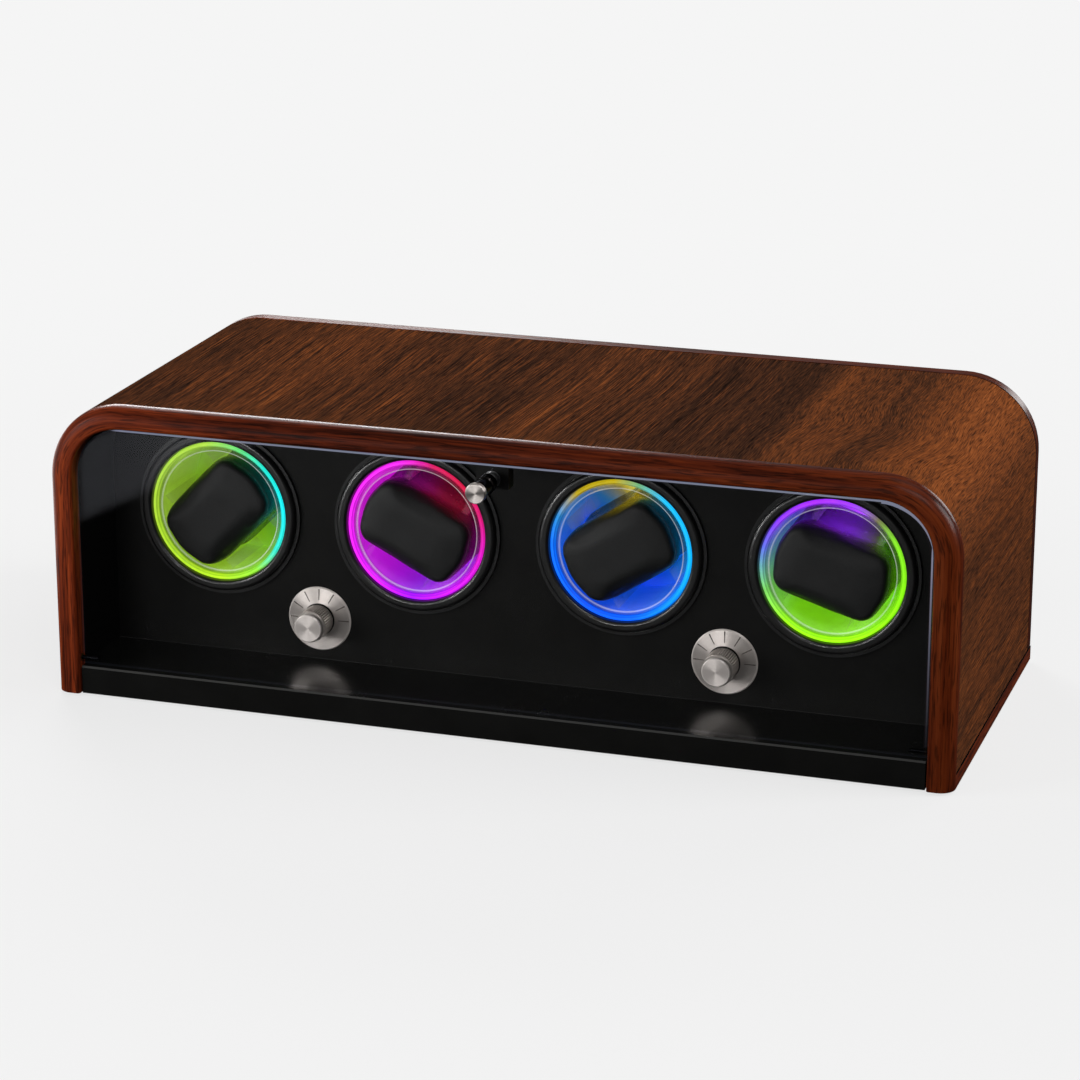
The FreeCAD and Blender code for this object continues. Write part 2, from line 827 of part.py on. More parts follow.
def make_rotors():
    """The four rotor stations, and the board whose bushes carry their shafts."""
    stations = list(enumerate(rotor_xs, 1))
    for index, x in stations:
        keep(make_bezel(index, x))
        keep(make_light_guide(index, x))
        keep(make_cup(index, x, rotor_tilts[index - 1]))
        keep(make_cushion(index, x, rotor_tilts[index - 1]))
        keep(make_rotor_shaft(index, x))
    keep(group("led_rings", [make_lamp_board(index, x) for index, x in stations]))
    keep(group("shaft_bushes", [make_bush(index, x) for index, x in stations]))
    half = inner_half - S.fit_gap
    outline = rectangle(-half, half, base_top, rotor_z + S.bearing_head)
    holes = [(x, rotor_z, S.bush_radius) for x in rotor_xs]
    holes += [(rotor_pitch * sign, motor_z, S.motor_boss_hole) for sign in sides.values()]
    keep(slab("bearing_board", bearing_front, bearing_rear, outline, holes))


def make_motor(side, x):
    """Geared motor behind the bearing board, with a bore for its output shaft."""
    bore = S.motor_shaft_radius + S.running_clearance
    bore_end = bearing_rear + S.motor_shaft_depth + S.fit_gap
    gearbox_end = bearing_rear + S.gearbox_length
    motor_end = gearbox_end + S.motor_length
    keep(turned(f"motor_{side}", [
        (bore, bearing_rear),
        (S.gearbox_radius, bearing_rear),
        (S.gearbox_radius, gearbox_end),
        (S.motor_radius, gearbox_end),
        (S.motor_radius, motor_end),
        (0, motor_end),
        (0, bore_end),
        (bore, bore_end),
    ], x, 0, motor_z))
    rim, groove = groove_points(S.motor_belt_radius)
    shaft_end = bearing_rear + S.motor_shaft_depth
    keep(turned(f"motor_pulley_{side}", [
        (0, pulley_front),
        (rim, pulley_front),
        *groove,
        (rim, pulley_rear),
        (S.motor_shaft_radius, pulley_rear),
        (S.motor_shaft_radius, shaft_end),
        (0, shaft_end),
    ], x, 0, motor_z))


def belt_wire(pulleys):
    """Closed line round pulleys (x, z, radius) listed clockwise as seen from the front."""
    touches = []
    for index, (x0, z0, r0) in enumerate(pulleys):
        x1, z1, r1 = pulleys[(index + 1) % len(pulleys)]
        away = math.atan2(z1 - z0, x1 - x0)
        lean = away + math.acos((r0 - r1) / math.hypot(x1 - x0, z1 - z0))
        touches.append((lean, x0, z0, r0, x1, z1, r1))
    edges = []
    for index, (lean, x0, z0, r0, x1, z1, r1) in enumerate(touches):
        start = FreeCAD.Vector(x0 + r0 * math.cos(lean), belt_y.value, z0 + r0 * math.sin(lean))
        end = FreeCAD.Vector(x1 + r1 * math.cos(lean), belt_y.value, z1 + r1 * math.sin(lean))
        edges.append(Part.LineSegment(start, end).toShape())
        following = touches[(index + 1) % len(touches)][0]
        sweep = (lean - following) % (2 * math.pi)
        middle = lean - sweep / 2
        top = FreeCAD.Vector(x1 + r1 * math.cos(middle), belt_y.value, z1 + r1 * math.sin(middle))
        last = FreeCAD.Vector(x1 + r1 * math.cos(following), belt_y.value, z1 + r1 * math.sin(following))
        edges.append(Part.Arc(end, top, last).toShape())
    return Part.Wire(edges)


def make_belt(side, xs, motor_x):
    """Round rubber belt over two rotor pulleys and the motor pulley below them."""
    rotor, motor = S.rotor_belt_radius.value, S.motor_belt_radius.value
    pulleys = [(x.value, rotor_z.value, rotor) for x in xs] + [(motor_x.value, motor_z.value, motor)]
    path = belt_wire(pulleys)
    start = path.Edges[0]
    section = Part.Circle(start.valueAt(start.FirstParameter), start.tangentAt(start.FirstParameter),
                          S.belt_radius.value)
    belt = doc.addObject("Part::Feature", f"belt_{side}")
    belt.Label = f"belt_{side}"
    belt.Shape = path.makePipeShell([Part.Wire(section.toShape())], True, False)
    belt.Placement = FreeCAD.Placement()
    keep(belt)


def make_selector(side, x):
    """Selector: escutcheon plate, knurled knob with its spindle, and a spun cap."""
    plate_front = panel_front - S.plate_thickness
    neck = S.switch_neck + S.switch_neck_clearance
    keep(turned(f"knob_plate_{side}", [
        (neck, panel_front),
        (S.plate_radius, panel_front),
        (S.plate_radius, plate_front + S.plate_edge),
        (S.plate_radius - S.plate_edge, plate_front),
        (neck, plate_front),
    ], x, 0, selector_z))
    knob_rear = plate_front - S.knob_gap
    knob_front = knob_rear - S.knob_length
    spindle_end = panel_rear + S.spindle_depth
    keep(turned(f"selector_knob_{side}", [
        (0, knob_front),
        (S.knob_radius - S.knob_edge, knob_front),
        (S.knob_radius, knob_front + S.knob_edge),
        (S.knob_radius, knob_rear - S.knob_edge),
        (S.knob_radius - S.knob_edge, knob_rear),
        (S.spindle_radius, knob_rear),
        (S.spindle_radius, spindle_end),
        (0, spindle_end),
    ], x, 0, selector_z))
    cap_front = knob_front - S.knob_cap_height
    keep(turned(f"knob_cap_{side}", [
        (0, cap_front),
        (S.knob_cap_radius - S.knob_cap_edge, cap_front),
        (S.knob_cap_radius, cap_front + S.knob_cap_edge),
        (S.knob_cap_radius, knob_front),
        (0, knob_front),
    ], x, 0, selector_z))


def make_switch(side, x):
    """Rotary switch behind the panel; its neck passes the panel and carries the knob's spindle."""
    half = S.switch_size / 2
    outline = rectangle(-half, half, -half, half)
    body = slab(f"selector_switch_{side}", panel_rear, panel_rear + S.switch_depth, outline)
    neck_front = panel_front - S.plate_thickness
    add_slab(body, f"switch_neck_{side}", neck_front, panel_rear, holes=[(0, 0, S.switch_neck)])
    bore_end = panel_rear + S.spindle_depth + S.fit_gap
    sketch = sketch_on(body, "XZ_Plane", f"switch_bore_{side}_sketch", -neck_front)
    draw_circle(sketch, 0, 0, S.spindle_radius + S.running_clearance)
    feature(body, "Pocket", f"switch_bore_{side}", sketch, bore_end - neck_front)
    return place(body, x, 0, selector_z)


def make_electrics():
    """Control board on standoffs behind the bearing board, and the inlet in the back panel."""
    board_z = rotor_z - S.board_drop
    half_wide, half_high = S.board_width / 2, S.board_height / 2
    board_front = bearing_rear + S.standoff_length
    board_rear = board_front + S.board_thickness
    board = slab("control_board", board_front, board_rear,
                 rectangle(-half_wide, half_wide, board_z - half_high, board_z + half_high))
    half_chip = S.chip_size / 2
    chip = rectangle(-half_chip, half_chip, board_z - half_chip, board_z + half_chip)
    add_slab(board, "chip", board_rear, board_rear + S.chip_height, chip)
    capacitors = [(S.part_offset * sign, board_z, S.capacitor_radius) for sign in sides.values()]
    add_slab(board, "capacitors", board_rear, board_rear + S.capacitor_height, holes=capacitors)
    keep(board)
    across, up = half_wide - S.board_margin, half_high - S.board_margin
    standoffs = []
    for x in (-across, across):
        for z in (board_z - up, board_z + up):
            name = f"standoff_{len(standoffs) + 1}"
            standoffs.append(rod(name, S.standoff_radius, x, bearing_rear, z, S.standoff_length, "Y"))
    keep(group("board_standoffs", standoffs))
    flange_rear = back_rear + S.jack_flange
    socket_end = flange_rear - S.jack_depth
    jack_front = back_rear - S.jack_length
    pin_end = flange_rear - S.jack_pin_setback
    keep(turned("dc_jack", [
        (0, jack_front),
        (S.jack_radius, jack_front),
        (S.jack_radius, back_rear),
        (S.jack_flange_radius, back_rear),
        (S.jack_flange_radius, flange_rear),
        (S.jack_bore, flange_rear),
        (S.jack_bore, socket_end),
        (S.jack_pin, socket_end),
        (S.jack_pin, pin_end),
        (0, pin_end),
    ], jack_x, 0, base_top + S.jack_height))


# Door: the pivot line runs through the middle of the pane, just above the plinth
pane_front = case_front + S.pane_recess
pane_rear = pane_front + S.pane_thickness
pane_half = inner_half - S.pane_gap
pane_top = inner_top - S.pane_gap
door_y = pane_front + S.pane_thickness / 2
door_z = floor_top + S.axis_height
pull_z = inner_top - S.pull_drop


def make_door():
    """Clear pane with a bevelled front edge, its pivot pins, and the bushes that carry them."""
    pane = new_body("door_pane")
    plate = rounded_plate(pane_half, pane_top, floor_top + S.pane_gap, S.inner_radius - S.pane_gap)
    pull_hole = (0, pull_z, S.pull_screw_radius + S.pull_hole_clearance)
    pad = add_slab(pane, "pane", pane_front, pane_rear, plate, [pull_hole])
    hole_radius = pull_hole[2].value

    def on_rim(edge):
        return not near(getattr(edge.Curve, "Radius", 0), hole_radius)

    bevel = round_edges(pane, pad, "pane_bevel", on_rim, pane_front, S.pane_bevel, kind="Chamfer")
    sketch = sketch_on(pane, "YZ_Plane", "pin_sketch", pane_half)
    draw_circle(sketch, door_y, door_z, S.pin_radius)
    hole = feature(pane, "Pocket", "pin_hole", sketch, S.pin_depth)
    doc.recompute()
    mirror = pane.newObject("PartDesign::Mirrored", "pin_holes")
    mirror.Originals = [hole]
    mirror.MirrorPlane = (origin_plane(pane, "YZ_Plane"), [""])
    pane.Tip = mirror
    doc.recompute()
    assert mirror.Shape.Volume < hole.Shape.Volume < bevel.Shape.Volume
    keep(pane)
    pin_start = pane_half - S.pin_depth
    pin_end = inner_half + S.pivot_length - S.pin_end_gap
    pin_length = pin_end - pin_start
    pins = [rod("hinge_pin_left", S.pin_radius, -pin_end, door_y, door_z, pin_length, "X"),
            rod("hinge_pin_right", S.pin_radius, pin_start, door_y, door_z, pin_length, "X")]
    keep(group("hinge_pins", pins))
    bushes = []
    for side, start in (("left", -(inner_half + S.pivot_length)), ("right", inner_half)):
        outer = rod(f"pivot_outer_{side}", S.pivot_radius, start, door_y, door_z, S.pivot_length, "X")
        bore = rod(f"pivot_bore_{side}", S.pin_radius + S.running_clearance, start, door_y, door_z,
                   S.pivot_length, "X")
        bushes.append(cut(f"pivot_bush_{side}", outer, bore))
    keep(group("pivot_bushes", bushes))


def make_pull():
    """Turned pull with a foot, a neck and two rings, its steel cap, and the screw through the pane."""
    screw_bore = S.pull_screw_radius + S.pull_screw_clearance
    screw_end = pane_front - S.pull_screw_depth
    foot_front = pane_front - S.pull_foot
    neck_front = foot_front - S.pull_neck
    cap_rear = pane_front - S.pull_length + S.pull_cap_height
    ring = S.pull_radius - S.pull_step
    keep(turned("pull_knob", [
        (screw_bore, pane_front),
        (S.pull_radius, pane_front),
        (S.pull_radius, foot_front),
        (S.pull_neck_radius, foot_front),
        (S.pull_neck_radius, neck_front),
        (S.pull_radius, neck_front),
        (S.pull_radius, neck_front - S.pull_ring),
        (ring, neck_front - S.pull_ring - S.pull_step),
        (ring, cap_rear + S.pull_ring + S.pull_step),
        (S.pull_radius, cap_rear + S.pull_ring),
        (S.pull_radius, cap_rear),
        (0, cap_rear),
        (0, screw_end - S.fit_gap),
        (screw_bore, screw_end - S.fit_gap),
    ], 0, 0, pull_z))
    cap_front = pane_front - S.pull_length
    keep(turned("pull_cap", [
        (0, cap_rear),
        (S.pull_cap_radius, cap_rear),
        (S.pull_cap_radius, cap_front + S.pull_cap_edge),
        (S.pull_cap_radius - S.pull_cap_edge, cap_front),
        (0, cap_front),
    ], 0, 0, pull_z))
    head_rear = pane_rear + S.pull_screw_head_height
    keep(turned("pull_screw", [
        (0, screw_end),
        (S.pull_screw_radius, screw_end),
        (S.pull_screw_radius, pane_rear),
        (S.pull_screw_head, pane_rear),
        (S.pull_screw_head, head_rear),
        (0, head_rear),
    ], 0, 0, pull_z))
    catch_front = head_rear + S.fit_gap
    half = S.catch_width / 2
    housing = block("catch_housing", (-half, half), (catch_front, catch_front + S.catch_depth),
                    (pull_z - S.magnet_radius - S.catch_edge, inner_top))
    pocket = rod("catch_pocket", S.magnet_radius, 0, catch_front, pull_z, S.magnet_length, "Y")
    keep(cut("door_catch", housing, pocket))
    keep(rod("catch_magnet", S.magnet_radius, 0, catch_front, pull_z, S.magnet_length, "Y"))


make_case_shell()
make_trims()
make_base()
make_panels()
make_rotors()
for side, sign in sides.items():
    middle = rotor_pitch * sign
    make_motor(side, middle)
    make_belt(side, rotor_xs[:2] if sign < 0 else rotor_xs[2:], middle)
    make_selector(side, middle)
keep(group("selector_switches", [make_switch(side, rotor_pitch * sign) for side, sign in sides.items()]))
make_electrics()
make_door()
make_pull()
doc.recompute()

failed = [item.Label for item in doc.Objects if {"Invalid", "Error"} & set(item.State)]
failed += [item.Label for item in nodes if item.Shape.isNull() or not item.Shape.isValid()]
if failed:
    raise RuntimeError("failed objects: " + ", ".join(failed))
os.makedirs("parts", exist_ok=True)
for item in nodes:
    item.Shape.exportStep(f"parts/{item.Label}.step")
    print(f"{item.Label}: {len(item.Shape.Solids)} solids, {item.Shape.Volume / 1000:.2f} cm3")
print(f"{len(nodes)} sub-parts")
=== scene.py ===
import math

import bmesh
import bpy
from mathutils import Matrix, Vector, noise


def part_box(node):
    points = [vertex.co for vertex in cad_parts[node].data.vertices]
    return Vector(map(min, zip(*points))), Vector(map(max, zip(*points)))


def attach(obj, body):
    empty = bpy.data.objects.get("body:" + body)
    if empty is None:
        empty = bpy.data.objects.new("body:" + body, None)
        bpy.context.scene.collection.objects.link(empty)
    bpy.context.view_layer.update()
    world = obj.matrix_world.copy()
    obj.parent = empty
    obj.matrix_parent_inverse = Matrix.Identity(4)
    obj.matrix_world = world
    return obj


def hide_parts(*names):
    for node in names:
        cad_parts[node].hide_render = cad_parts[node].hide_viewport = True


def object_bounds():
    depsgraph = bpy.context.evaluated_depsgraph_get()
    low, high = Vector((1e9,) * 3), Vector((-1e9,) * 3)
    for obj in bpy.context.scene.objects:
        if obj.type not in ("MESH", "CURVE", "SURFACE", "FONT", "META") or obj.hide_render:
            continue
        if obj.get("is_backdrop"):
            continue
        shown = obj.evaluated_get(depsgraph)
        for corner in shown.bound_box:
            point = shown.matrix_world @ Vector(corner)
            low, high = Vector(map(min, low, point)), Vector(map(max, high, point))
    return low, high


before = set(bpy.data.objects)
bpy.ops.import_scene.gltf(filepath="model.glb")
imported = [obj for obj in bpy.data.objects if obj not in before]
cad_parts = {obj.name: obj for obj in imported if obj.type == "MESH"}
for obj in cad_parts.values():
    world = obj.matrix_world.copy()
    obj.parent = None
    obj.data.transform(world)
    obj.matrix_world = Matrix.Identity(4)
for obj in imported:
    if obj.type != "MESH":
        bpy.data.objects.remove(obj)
cad_low, cad_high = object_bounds()

# Case shell: an inverted U of board with rounded shoulders, faced with dark brown veneer and
# lined with black; the groove before its rear edging is painted black as painted shade. The grain runs
# from front to back, under a satin lacquer, and it curls near the right front corner, where a branch grew.
SHOULDER = 0.038
SHEET_REACH = 0.36
LINING_RADIUS = 0.033
GROOVE_WIDTH = 0.0012
CURL_SPOT = (0.170, -0.040, 0.0)
CURL_REACH = 0.075
CURL_TURN = 0.4
SWAY_RATES = (6.0, 4.0)
SHIVER_RATES = (40.0, 24.0)
STREAK_RATES = (140.0, 3.0)
LONG_LINE_RATES = (1750.0, 14.0)
STROKE_RATES = (1300.0, 110.0)
DASH_RATES = (2400.0, 90.0)
SWAY_REACH = 0.014
CALM_WANDER = 0.0010
WILD_WANDER = 0.0045
WILD_SHARES = ((0.50, 0.0), (0.62, 0.12), (0.68, 0.75), (0.78, 1.0), (0.86, 0.45), (1.0, 0.25))
BAND_TONES = (
    (-0.36, 0.46), (-0.25, 0.44), (-0.19, 0.46), (-0.155, 0.50), (-0.13, 0.57), (-0.095, 0.50),
    (-0.07, 0.47), (-0.04, 0.44), (-0.015, 0.38), (0.012, 0.55), (0.035, 0.48), (0.058, 0.47),
    (0.078, 0.36), (0.10, 0.42), (0.118, 0.36), (0.135, 0.62), (0.155, 0.58), (0.168, 0.48),
    (0.185, 0.64), (0.21, 0.78), (0.235, 0.64), (0.26, 0.56), (0.30, 0.55), (0.36, 0.54),
)


def paint(code):
    """A colour for a finish, from its hex code."""
    shares = [int(code[place:place + 2], 16) / 255 for place in (1, 3, 5)]
    light = [share / 12.92 if share <= 0.04045 else ((share + 0.055) / 1.055) ** 2.4 for share in shares]
    return (*light, 1.0)


def new_finish(name, looks):
    """A finish, with plain values for its surface's sockets. Returns it, its tree and its surface."""
    finish = bpy.data.materials.new(name)
    finish.use_nodes = True
    surface = finish.node_tree.nodes["Principled BSDF"]
    for socket, amount in looks.items():
        surface.inputs[socket].default_value = amount
    return finish, finish.node_tree, surface


def feed(tree, socket, source):
    """Give a socket what another one puts out, or a plain value."""
    if isinstance(source, bpy.types.NodeSocket):
        tree.links.new(source, socket)
    else:
        socket.default_value = source


def step(tree, operation, *sources):
    """One step of arithmetic on sockets and plain numbers."""
    node = tree.nodes.new("ShaderNodeMath")
    node.operation = operation
    for socket, source in zip(node.inputs, sources):
        feed(tree, socket, source)
    return node.outputs[0]


def places(tree):
    """The three coordinates of a spot on the piece, in the box's own frame."""
    split = tree.nodes.new("ShaderNodeSeparateXYZ")
    tree.links.new(tree.nodes.new("ShaderNodeTexCoord").outputs["Object"], split.inputs[0])
    return split.outputs[0], split.outputs[1], split.outputs[2]


def spot(tree, x, y, z=0.0):
    """A spot from three coordinates."""
    node = tree.nodes.new("ShaderNodeCombineXYZ")
    for socket, source in zip(node.inputs, (x, y, z)):
        feed(tree, socket, source)
    return node.outputs[0]


def stretched(tree, spans, rates):
    """A spot whose coordinates are spread or drawn out by their own rates."""
    return spot(tree, *[step(tree, "MULTIPLY", span, rate) for span, rate in zip(spans, rates)])


def mottle(tree, where, scale=1.0, detail=2.0, roughness=0.5, warp=0.0):
    """Cloudy variation from 0 to 1."""
    node = tree.nodes.new("ShaderNodeTexNoise")
    amounts = {"Scale": scale, "Detail": detail, "Roughness": roughness, "Distortion": warp}
    for socket, amount in amounts.items():
        node.inputs[socket].default_value = amount
    tree.links.new(where, node.inputs["Vector"])
    return node.outputs[0]


def tones(tree, share, stops):
    """Colours laid along a share from 0 to 1; a plain number stands for a grey."""
    node = tree.nodes.new("ShaderNodeValToRGB")
    elements = node.color_ramp.elements
    while len(elements) < len(stops):
        elements.new(1.0)
    for element, (position, colour) in zip(elements, stops):
        element.position = position
        element.color = paint(colour) if isinstance(colour, str) else (colour, colour, colour, 1.0)
    feed(tree, node.inputs[0], share)
    return node.outputs[0]


def mixed(tree, share, first, second, way="MIX"):
    """Two colours mixed by a share."""
    node = tree.nodes.new("ShaderNodeMix")
    node.data_type = "RGBA"
    node.blend_type = way
    feed(tree, node.inputs[0], share)
    feed(tree, node.inputs[6], first)
    feed(tree, node.inputs[7], second)
    return node.outputs[2]


def between(tree, share, low, high):
    """A number from low to high by a share from 0 to 1."""
    return step(tree, "MULTIPLY_ADD", share, high - low, low)


def relieve(tree, surface, height, depth, strength=1.0):
    """Raise a surface by a height from 0 to 1, at a depth in metres."""
    node = tree.nodes.new("ShaderNodeBump")
    node.inputs["Strength"].default_value = strength
    node.inputs["Distance"].default_value = depth
    tree.links.new(height, node.inputs["Height"])
    tree.links.new(node.outputs[0], surface.inputs["Normal"])


def dress(finish, *names):
    """Put a finish on pieces of the frame."""
    for name in names:
        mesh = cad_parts[name].data
        mesh.materials.clear()
        mesh.materials.append(finish)


def off_axis(tree, out, up):
    """How far a spot lies from an axis, by its distances out and up."""
    squares = [step(tree, "POWER", distance, 2.0) for distance in (out, up)]
    return step(tree, "SQRT", step(tree, "ADD", *squares))


def swing(tree, share, amount, base):
    """A base moved to both sides by a share from 0 to 1 and an amount."""
    return step(tree, "MULTIPLY_ADD", step(tree, "SUBTRACT", share, 0.5), amount, base)


def unrolled(tree):
    """A spot on the shell as on a flat sheet: how far round, how far back, and its distance from the
    shoulder's axis."""
    x, y, z = places(tree)
    flat = cad_high.x - SHOULDER
    spring = cad_high.z - SHOULDER
    wide = step(tree, "ABSOLUTE", x)
    out = step(tree, "MAXIMUM", step(tree, "SUBTRACT", wide, flat), 0.0)
    up = step(tree, "MAXIMUM", step(tree, "SUBTRACT", z, spring), 0.0)
    bend = step(tree, "MULTIPLY", step(tree, "ARCTAN2", out, up), SHOULDER)
    drop = step(tree, "SUBTRACT", spring, step(tree, "MINIMUM", z, spring))
    path = step(tree, "ADD", step(tree, "MINIMUM", wide, flat), step(tree, "ADD", bend, drop))
    return step(tree, "MULTIPLY", step(tree, "SIGN", x), path), y, off_axis(tree, out, up)


def curled(tree, across, back):
    """The sheet with a curl in its figure, as where a branch grew."""
    sheet = spot(tree, across, back)
    reach = tree.nodes.new("ShaderNodeVectorMath")
    reach.operation = "DISTANCE"
    tree.links.new(sheet, reach.inputs[0])
    reach.inputs[1].default_value = CURL_SPOT
    share = step(tree, "MULTIPLY_ADD", reach.outputs["Value"], -1 / CURL_REACH, 1.0)
    share = step(tree, "MAXIMUM", share, 0.0)
    turn = tree.nodes.new("ShaderNodeVectorRotate")
    turn.rotation_type = "Z_AXIS"
    turn.inputs["Center"].default_value = CURL_SPOT
    tree.links.new(sheet, turn.inputs["Vector"])
    feed(tree, turn.inputs["Angle"], step(tree, "MULTIPLY", step(tree, "POWER", share, 2.0), CURL_TURN))
    split = tree.nodes.new("ShaderNodeSeparateXYZ")
    tree.links.new(turn.outputs[0], split.inputs[0])
    return split.outputs[0], split.outputs[1]


def veneer_finish():
    finish, tree, surface = new_finish("veneer", {"Specular IOR Level": 0.0})
    flat_across, flat_back, radius = unrolled(tree)
    across, back = curled(tree, flat_across, flat_back)
    wild = tones(tree, step(tree, "MULTIPLY_ADD", across, 0.5 / SHEET_REACH, 0.5), WILD_SHARES)
    sway = mottle(tree, stretched(tree, (across, back), SWAY_RATES), detail=1.0)
    shiver = mottle(tree, stretched(tree, (across, back), SHIVER_RATES))
    across = swing(tree, sway, SWAY_REACH, across)
    across = swing(tree, shiver, between(tree, wild, CALM_WANDER, WILD_WANDER), across)
    sheet_share = step(tree, "MULTIPLY_ADD", across, 0.5 / SHEET_REACH, 0.5)
    bands = tones(tree, sheet_share, [(0.5 + at * 0.5 / SHEET_REACH, tone) for at, tone in BAND_TONES])
    streaks = mottle(tree, stretched(tree, (across, back), STREAK_RATES), detail=3.0, roughness=0.6)
    long_lines = mottle(tree, stretched(tree, (across, back), LONG_LINE_RATES), roughness=0.6)
    strokes = mottle(tree, stretched(tree, (across, back), STROKE_RATES), roughness=0.6, warp=0.3)
    lines = mixed(tree, step(tree, "MULTIPLY", wild, 0.75), long_lines, strokes)
    dashes = mottle(tree, stretched(tree, (across, back), DASH_RATES), roughness=0.55)
    figure = swing(tree, streaks, 0.5, bands)
    figure = swing(tree, lines, between(tree, wild, 1.7, 1.0), figure)
    figure = swing(tree, dashes, 0.7, figure)
    wood = tones(tree, figure, [
        (0.05, "#1b120d"), (0.28, "#33221a"), (0.47, "#4b2e1f"), (0.62, "#673b23"), (0.80, "#854926"),
        (1.0, "#a05c30")])
    pores = tones(tree, dashes, [(0.36, 1.0), (0.45, 0.0)])
    dark = mixed(tree, step(tree, "MULTIPLY", pores, 0.55), wood, paint("#170f0b"))
    lined = step(tree, "LESS_THAN", radius, LINING_RADIUS)
    # Painted shade: the faces in the groove before the rear edging are painted black, like the black lining.
    painted_groove_shade = step(tree, "GREATER_THAN", flat_back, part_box("case_shell")[1].y - GROOVE_WIDTH)
    black = step(tree, "MAXIMUM", lined, painted_groove_shade)
    tree.links.new(mixed(tree, black, dark, paint("#0b0b0b")), surface.inputs["Base Color"])
    feed(tree, surface.inputs["Roughness"], between(tree, pores, 0.44, 0.58))
    relieve(tree, surface, dashes, 0.0001, 0.35)
    return finish


dress(veneer_finish(), "case_shell")

# Edgings: solid reddish hardwood bent round the front and the rear of the shell, and two straight
# strips under its sides. The edging is darker towards the right, and the lacquer is glossy but rubbed down
# on the front. The strips' tops are painted black as painted shade, for a shadow line under the shell.
DARKENING_SHARES = ((0.0, 1.0), (0.16, 0.95), (0.24, 0.78), (0.36, 0.55), (0.55, 0.43), (1.0, 0.38))
STRIP_SHARES = ((0.0, 0.66), (1.0, 0.60))
SHADOW_LINE = 0.0003
SPREAD_ALONG = (9.0, 60.0, 60.0)
STREAKS_ALONG = (10.0, 420.0, 420.0)
BANDS_ALONG = (5.0, 60.0, 60.0)
FIBRES_ALONG = (70.0, 1100.0, 1100.0)
strip_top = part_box("base_strips")[1].z - SHADOW_LINE


def frontness(tree):
    """How far a spot faces the front, as -1, or the back, as 1."""
    facing = tree.nodes.new("ShaderNodeSeparateXYZ")
    tree.links.new(tree.nodes.new("ShaderNodeTexCoord").outputs["Normal"], facing.inputs[0])
    return facing.outputs[1]


def edging_finish(name, grain_along, tone_shares):
    looks = {"Specular IOR Level": 0.05, "Coat IOR": 1.2, "Coat Roughness": 0.22}
    finish, tree, surface = new_finish(name, looks)
    along, first, second = grain_along(tree)
    sway = mottle(tree, stretched(tree, (along, first, second), SPREAD_ALONG), detail=1.0)
    first = swing(tree, sway, 0.006, first)
    streaks = mottle(tree, stretched(tree, (along, first, second), STREAKS_ALONG), detail=4.0, roughness=0.65)
    bands = mottle(tree, stretched(tree, (along, first, second), BANDS_ALONG))
    figure = swing(tree, bands, 0.7, streaks)
    wood = tones(tree, figure, [
        (0.24, "#3c150a"), (0.42, "#702a12"), (0.60, "#973f1b"), (0.82, "#b45427")])
    fibres = mottle(tree, stretched(tree, (along, first, second), FIBRES_ALONG))
    pores = tones(tree, fibres, [(0.38, 1.0), (0.48, 0.0)])
    dark = mixed(tree, step(tree, "MULTIPLY", pores, 0.6), wood, paint("#170905"))
    # Darker towards the right along the edging's path.
    tone_ramp = tones(tree, step(tree, "MULTIPLY_ADD", along, 0.5 / SHEET_REACH, 0.5), tone_shares)
    tone_and_shadow = mixed(tree, 1.0, dark, tone_ramp, "MULTIPLY")
    if tone_shares is STRIP_SHARES:
        # Painted shade: the strips' top faces are painted near black for the shadow line under the shell.
        painted_shadow_line = step(tree, "GREATER_THAN", second, strip_top)
        tone_and_shadow = mixed(tree, painted_shadow_line, tone_and_shadow, paint("#080605"))
    tree.links.new(tone_and_shadow, surface.inputs["Base Color"])
    feed(tree, surface.inputs["Roughness"], between(tree, streaks, 0.34, 0.46))
    gloss = tones(tree, step(tree, "ABSOLUTE", frontness(tree)), [(0.70, 1.0), (0.92, 0.0)])
    feed(tree, surface.inputs["Coat Weight"], gloss)
    relieve(tree, surface, fibres, 0.00004, 0.12)
    return finish


def front_to_back(tree):
    x, y, z = places(tree)
    return y, x, z


dress(edging_finish("arch_edging", unrolled, DARKENING_SHARES), "front_trim", "rear_trim")
dress(edging_finish("strip_edging", front_to_back, STRIP_SHARES), "base_strips")

# Battens and bearing board: plain brown fibreboard inside the case, sawn and unpainted.
# The battens are glued into the corners, and the bearing board carries the shafts behind the panel.


def board_finish():
    finish, tree, surface = new_finish("fibreboard", {"Roughness": 0.85, "Specular IOR Level": 0.25})
    where = spot(tree, *places(tree))
    fibres = mottle(tree, where, 900.0, detail=4.0, roughness=0.7)
    clouds = mottle(tree, where, 60.0)
    shade = swing(tree, clouds, 0.5, fibres)
    board = tones(tree, shade, [(0.2, "#5e4630"), (0.5, "#86694a"), (0.8, "#a58a68")])
    tree.links.new(board, surface.inputs["Base Color"])
    relieve(tree, surface, fibres, 0.0002, 0.5)
    return finish


dress(board_finish(), "battens", "bearing_board")

# Plinth, cabin floor, base board, instrument panel and back panel: board sprayed with black lacquer.
# The panels are satin, and the floor and the plinth are glossier. Fine grey lines of painted highlight run
# along the plinth's upper arris and along the back of the floor.
ARRIS = 0.0008


def lacquer_finish(name, shine, low, high, arris_highlight=None):
    finish, tree, surface = new_finish(name, {"Specular IOR Level": shine})
    x, y, z = places(tree)
    wear = mottle(tree, spot(tree, x, y, z), 35.0, detail=4.0, roughness=0.6)
    black = tones(tree, wear, [(0.25, "#0e0e0d"), (0.75, "#131312")])
    if arris_highlight:
        # Painted highlight: a fine grey line along an arris.
        black = mixed(tree, arris_highlight(tree, y, z), black, paint("#3c3c3b"))
    tree.links.new(black, surface.inputs["Base Color"])
    feed(tree, surface.inputs["Roughness"], between(tree, wear, low, high))
    return finish


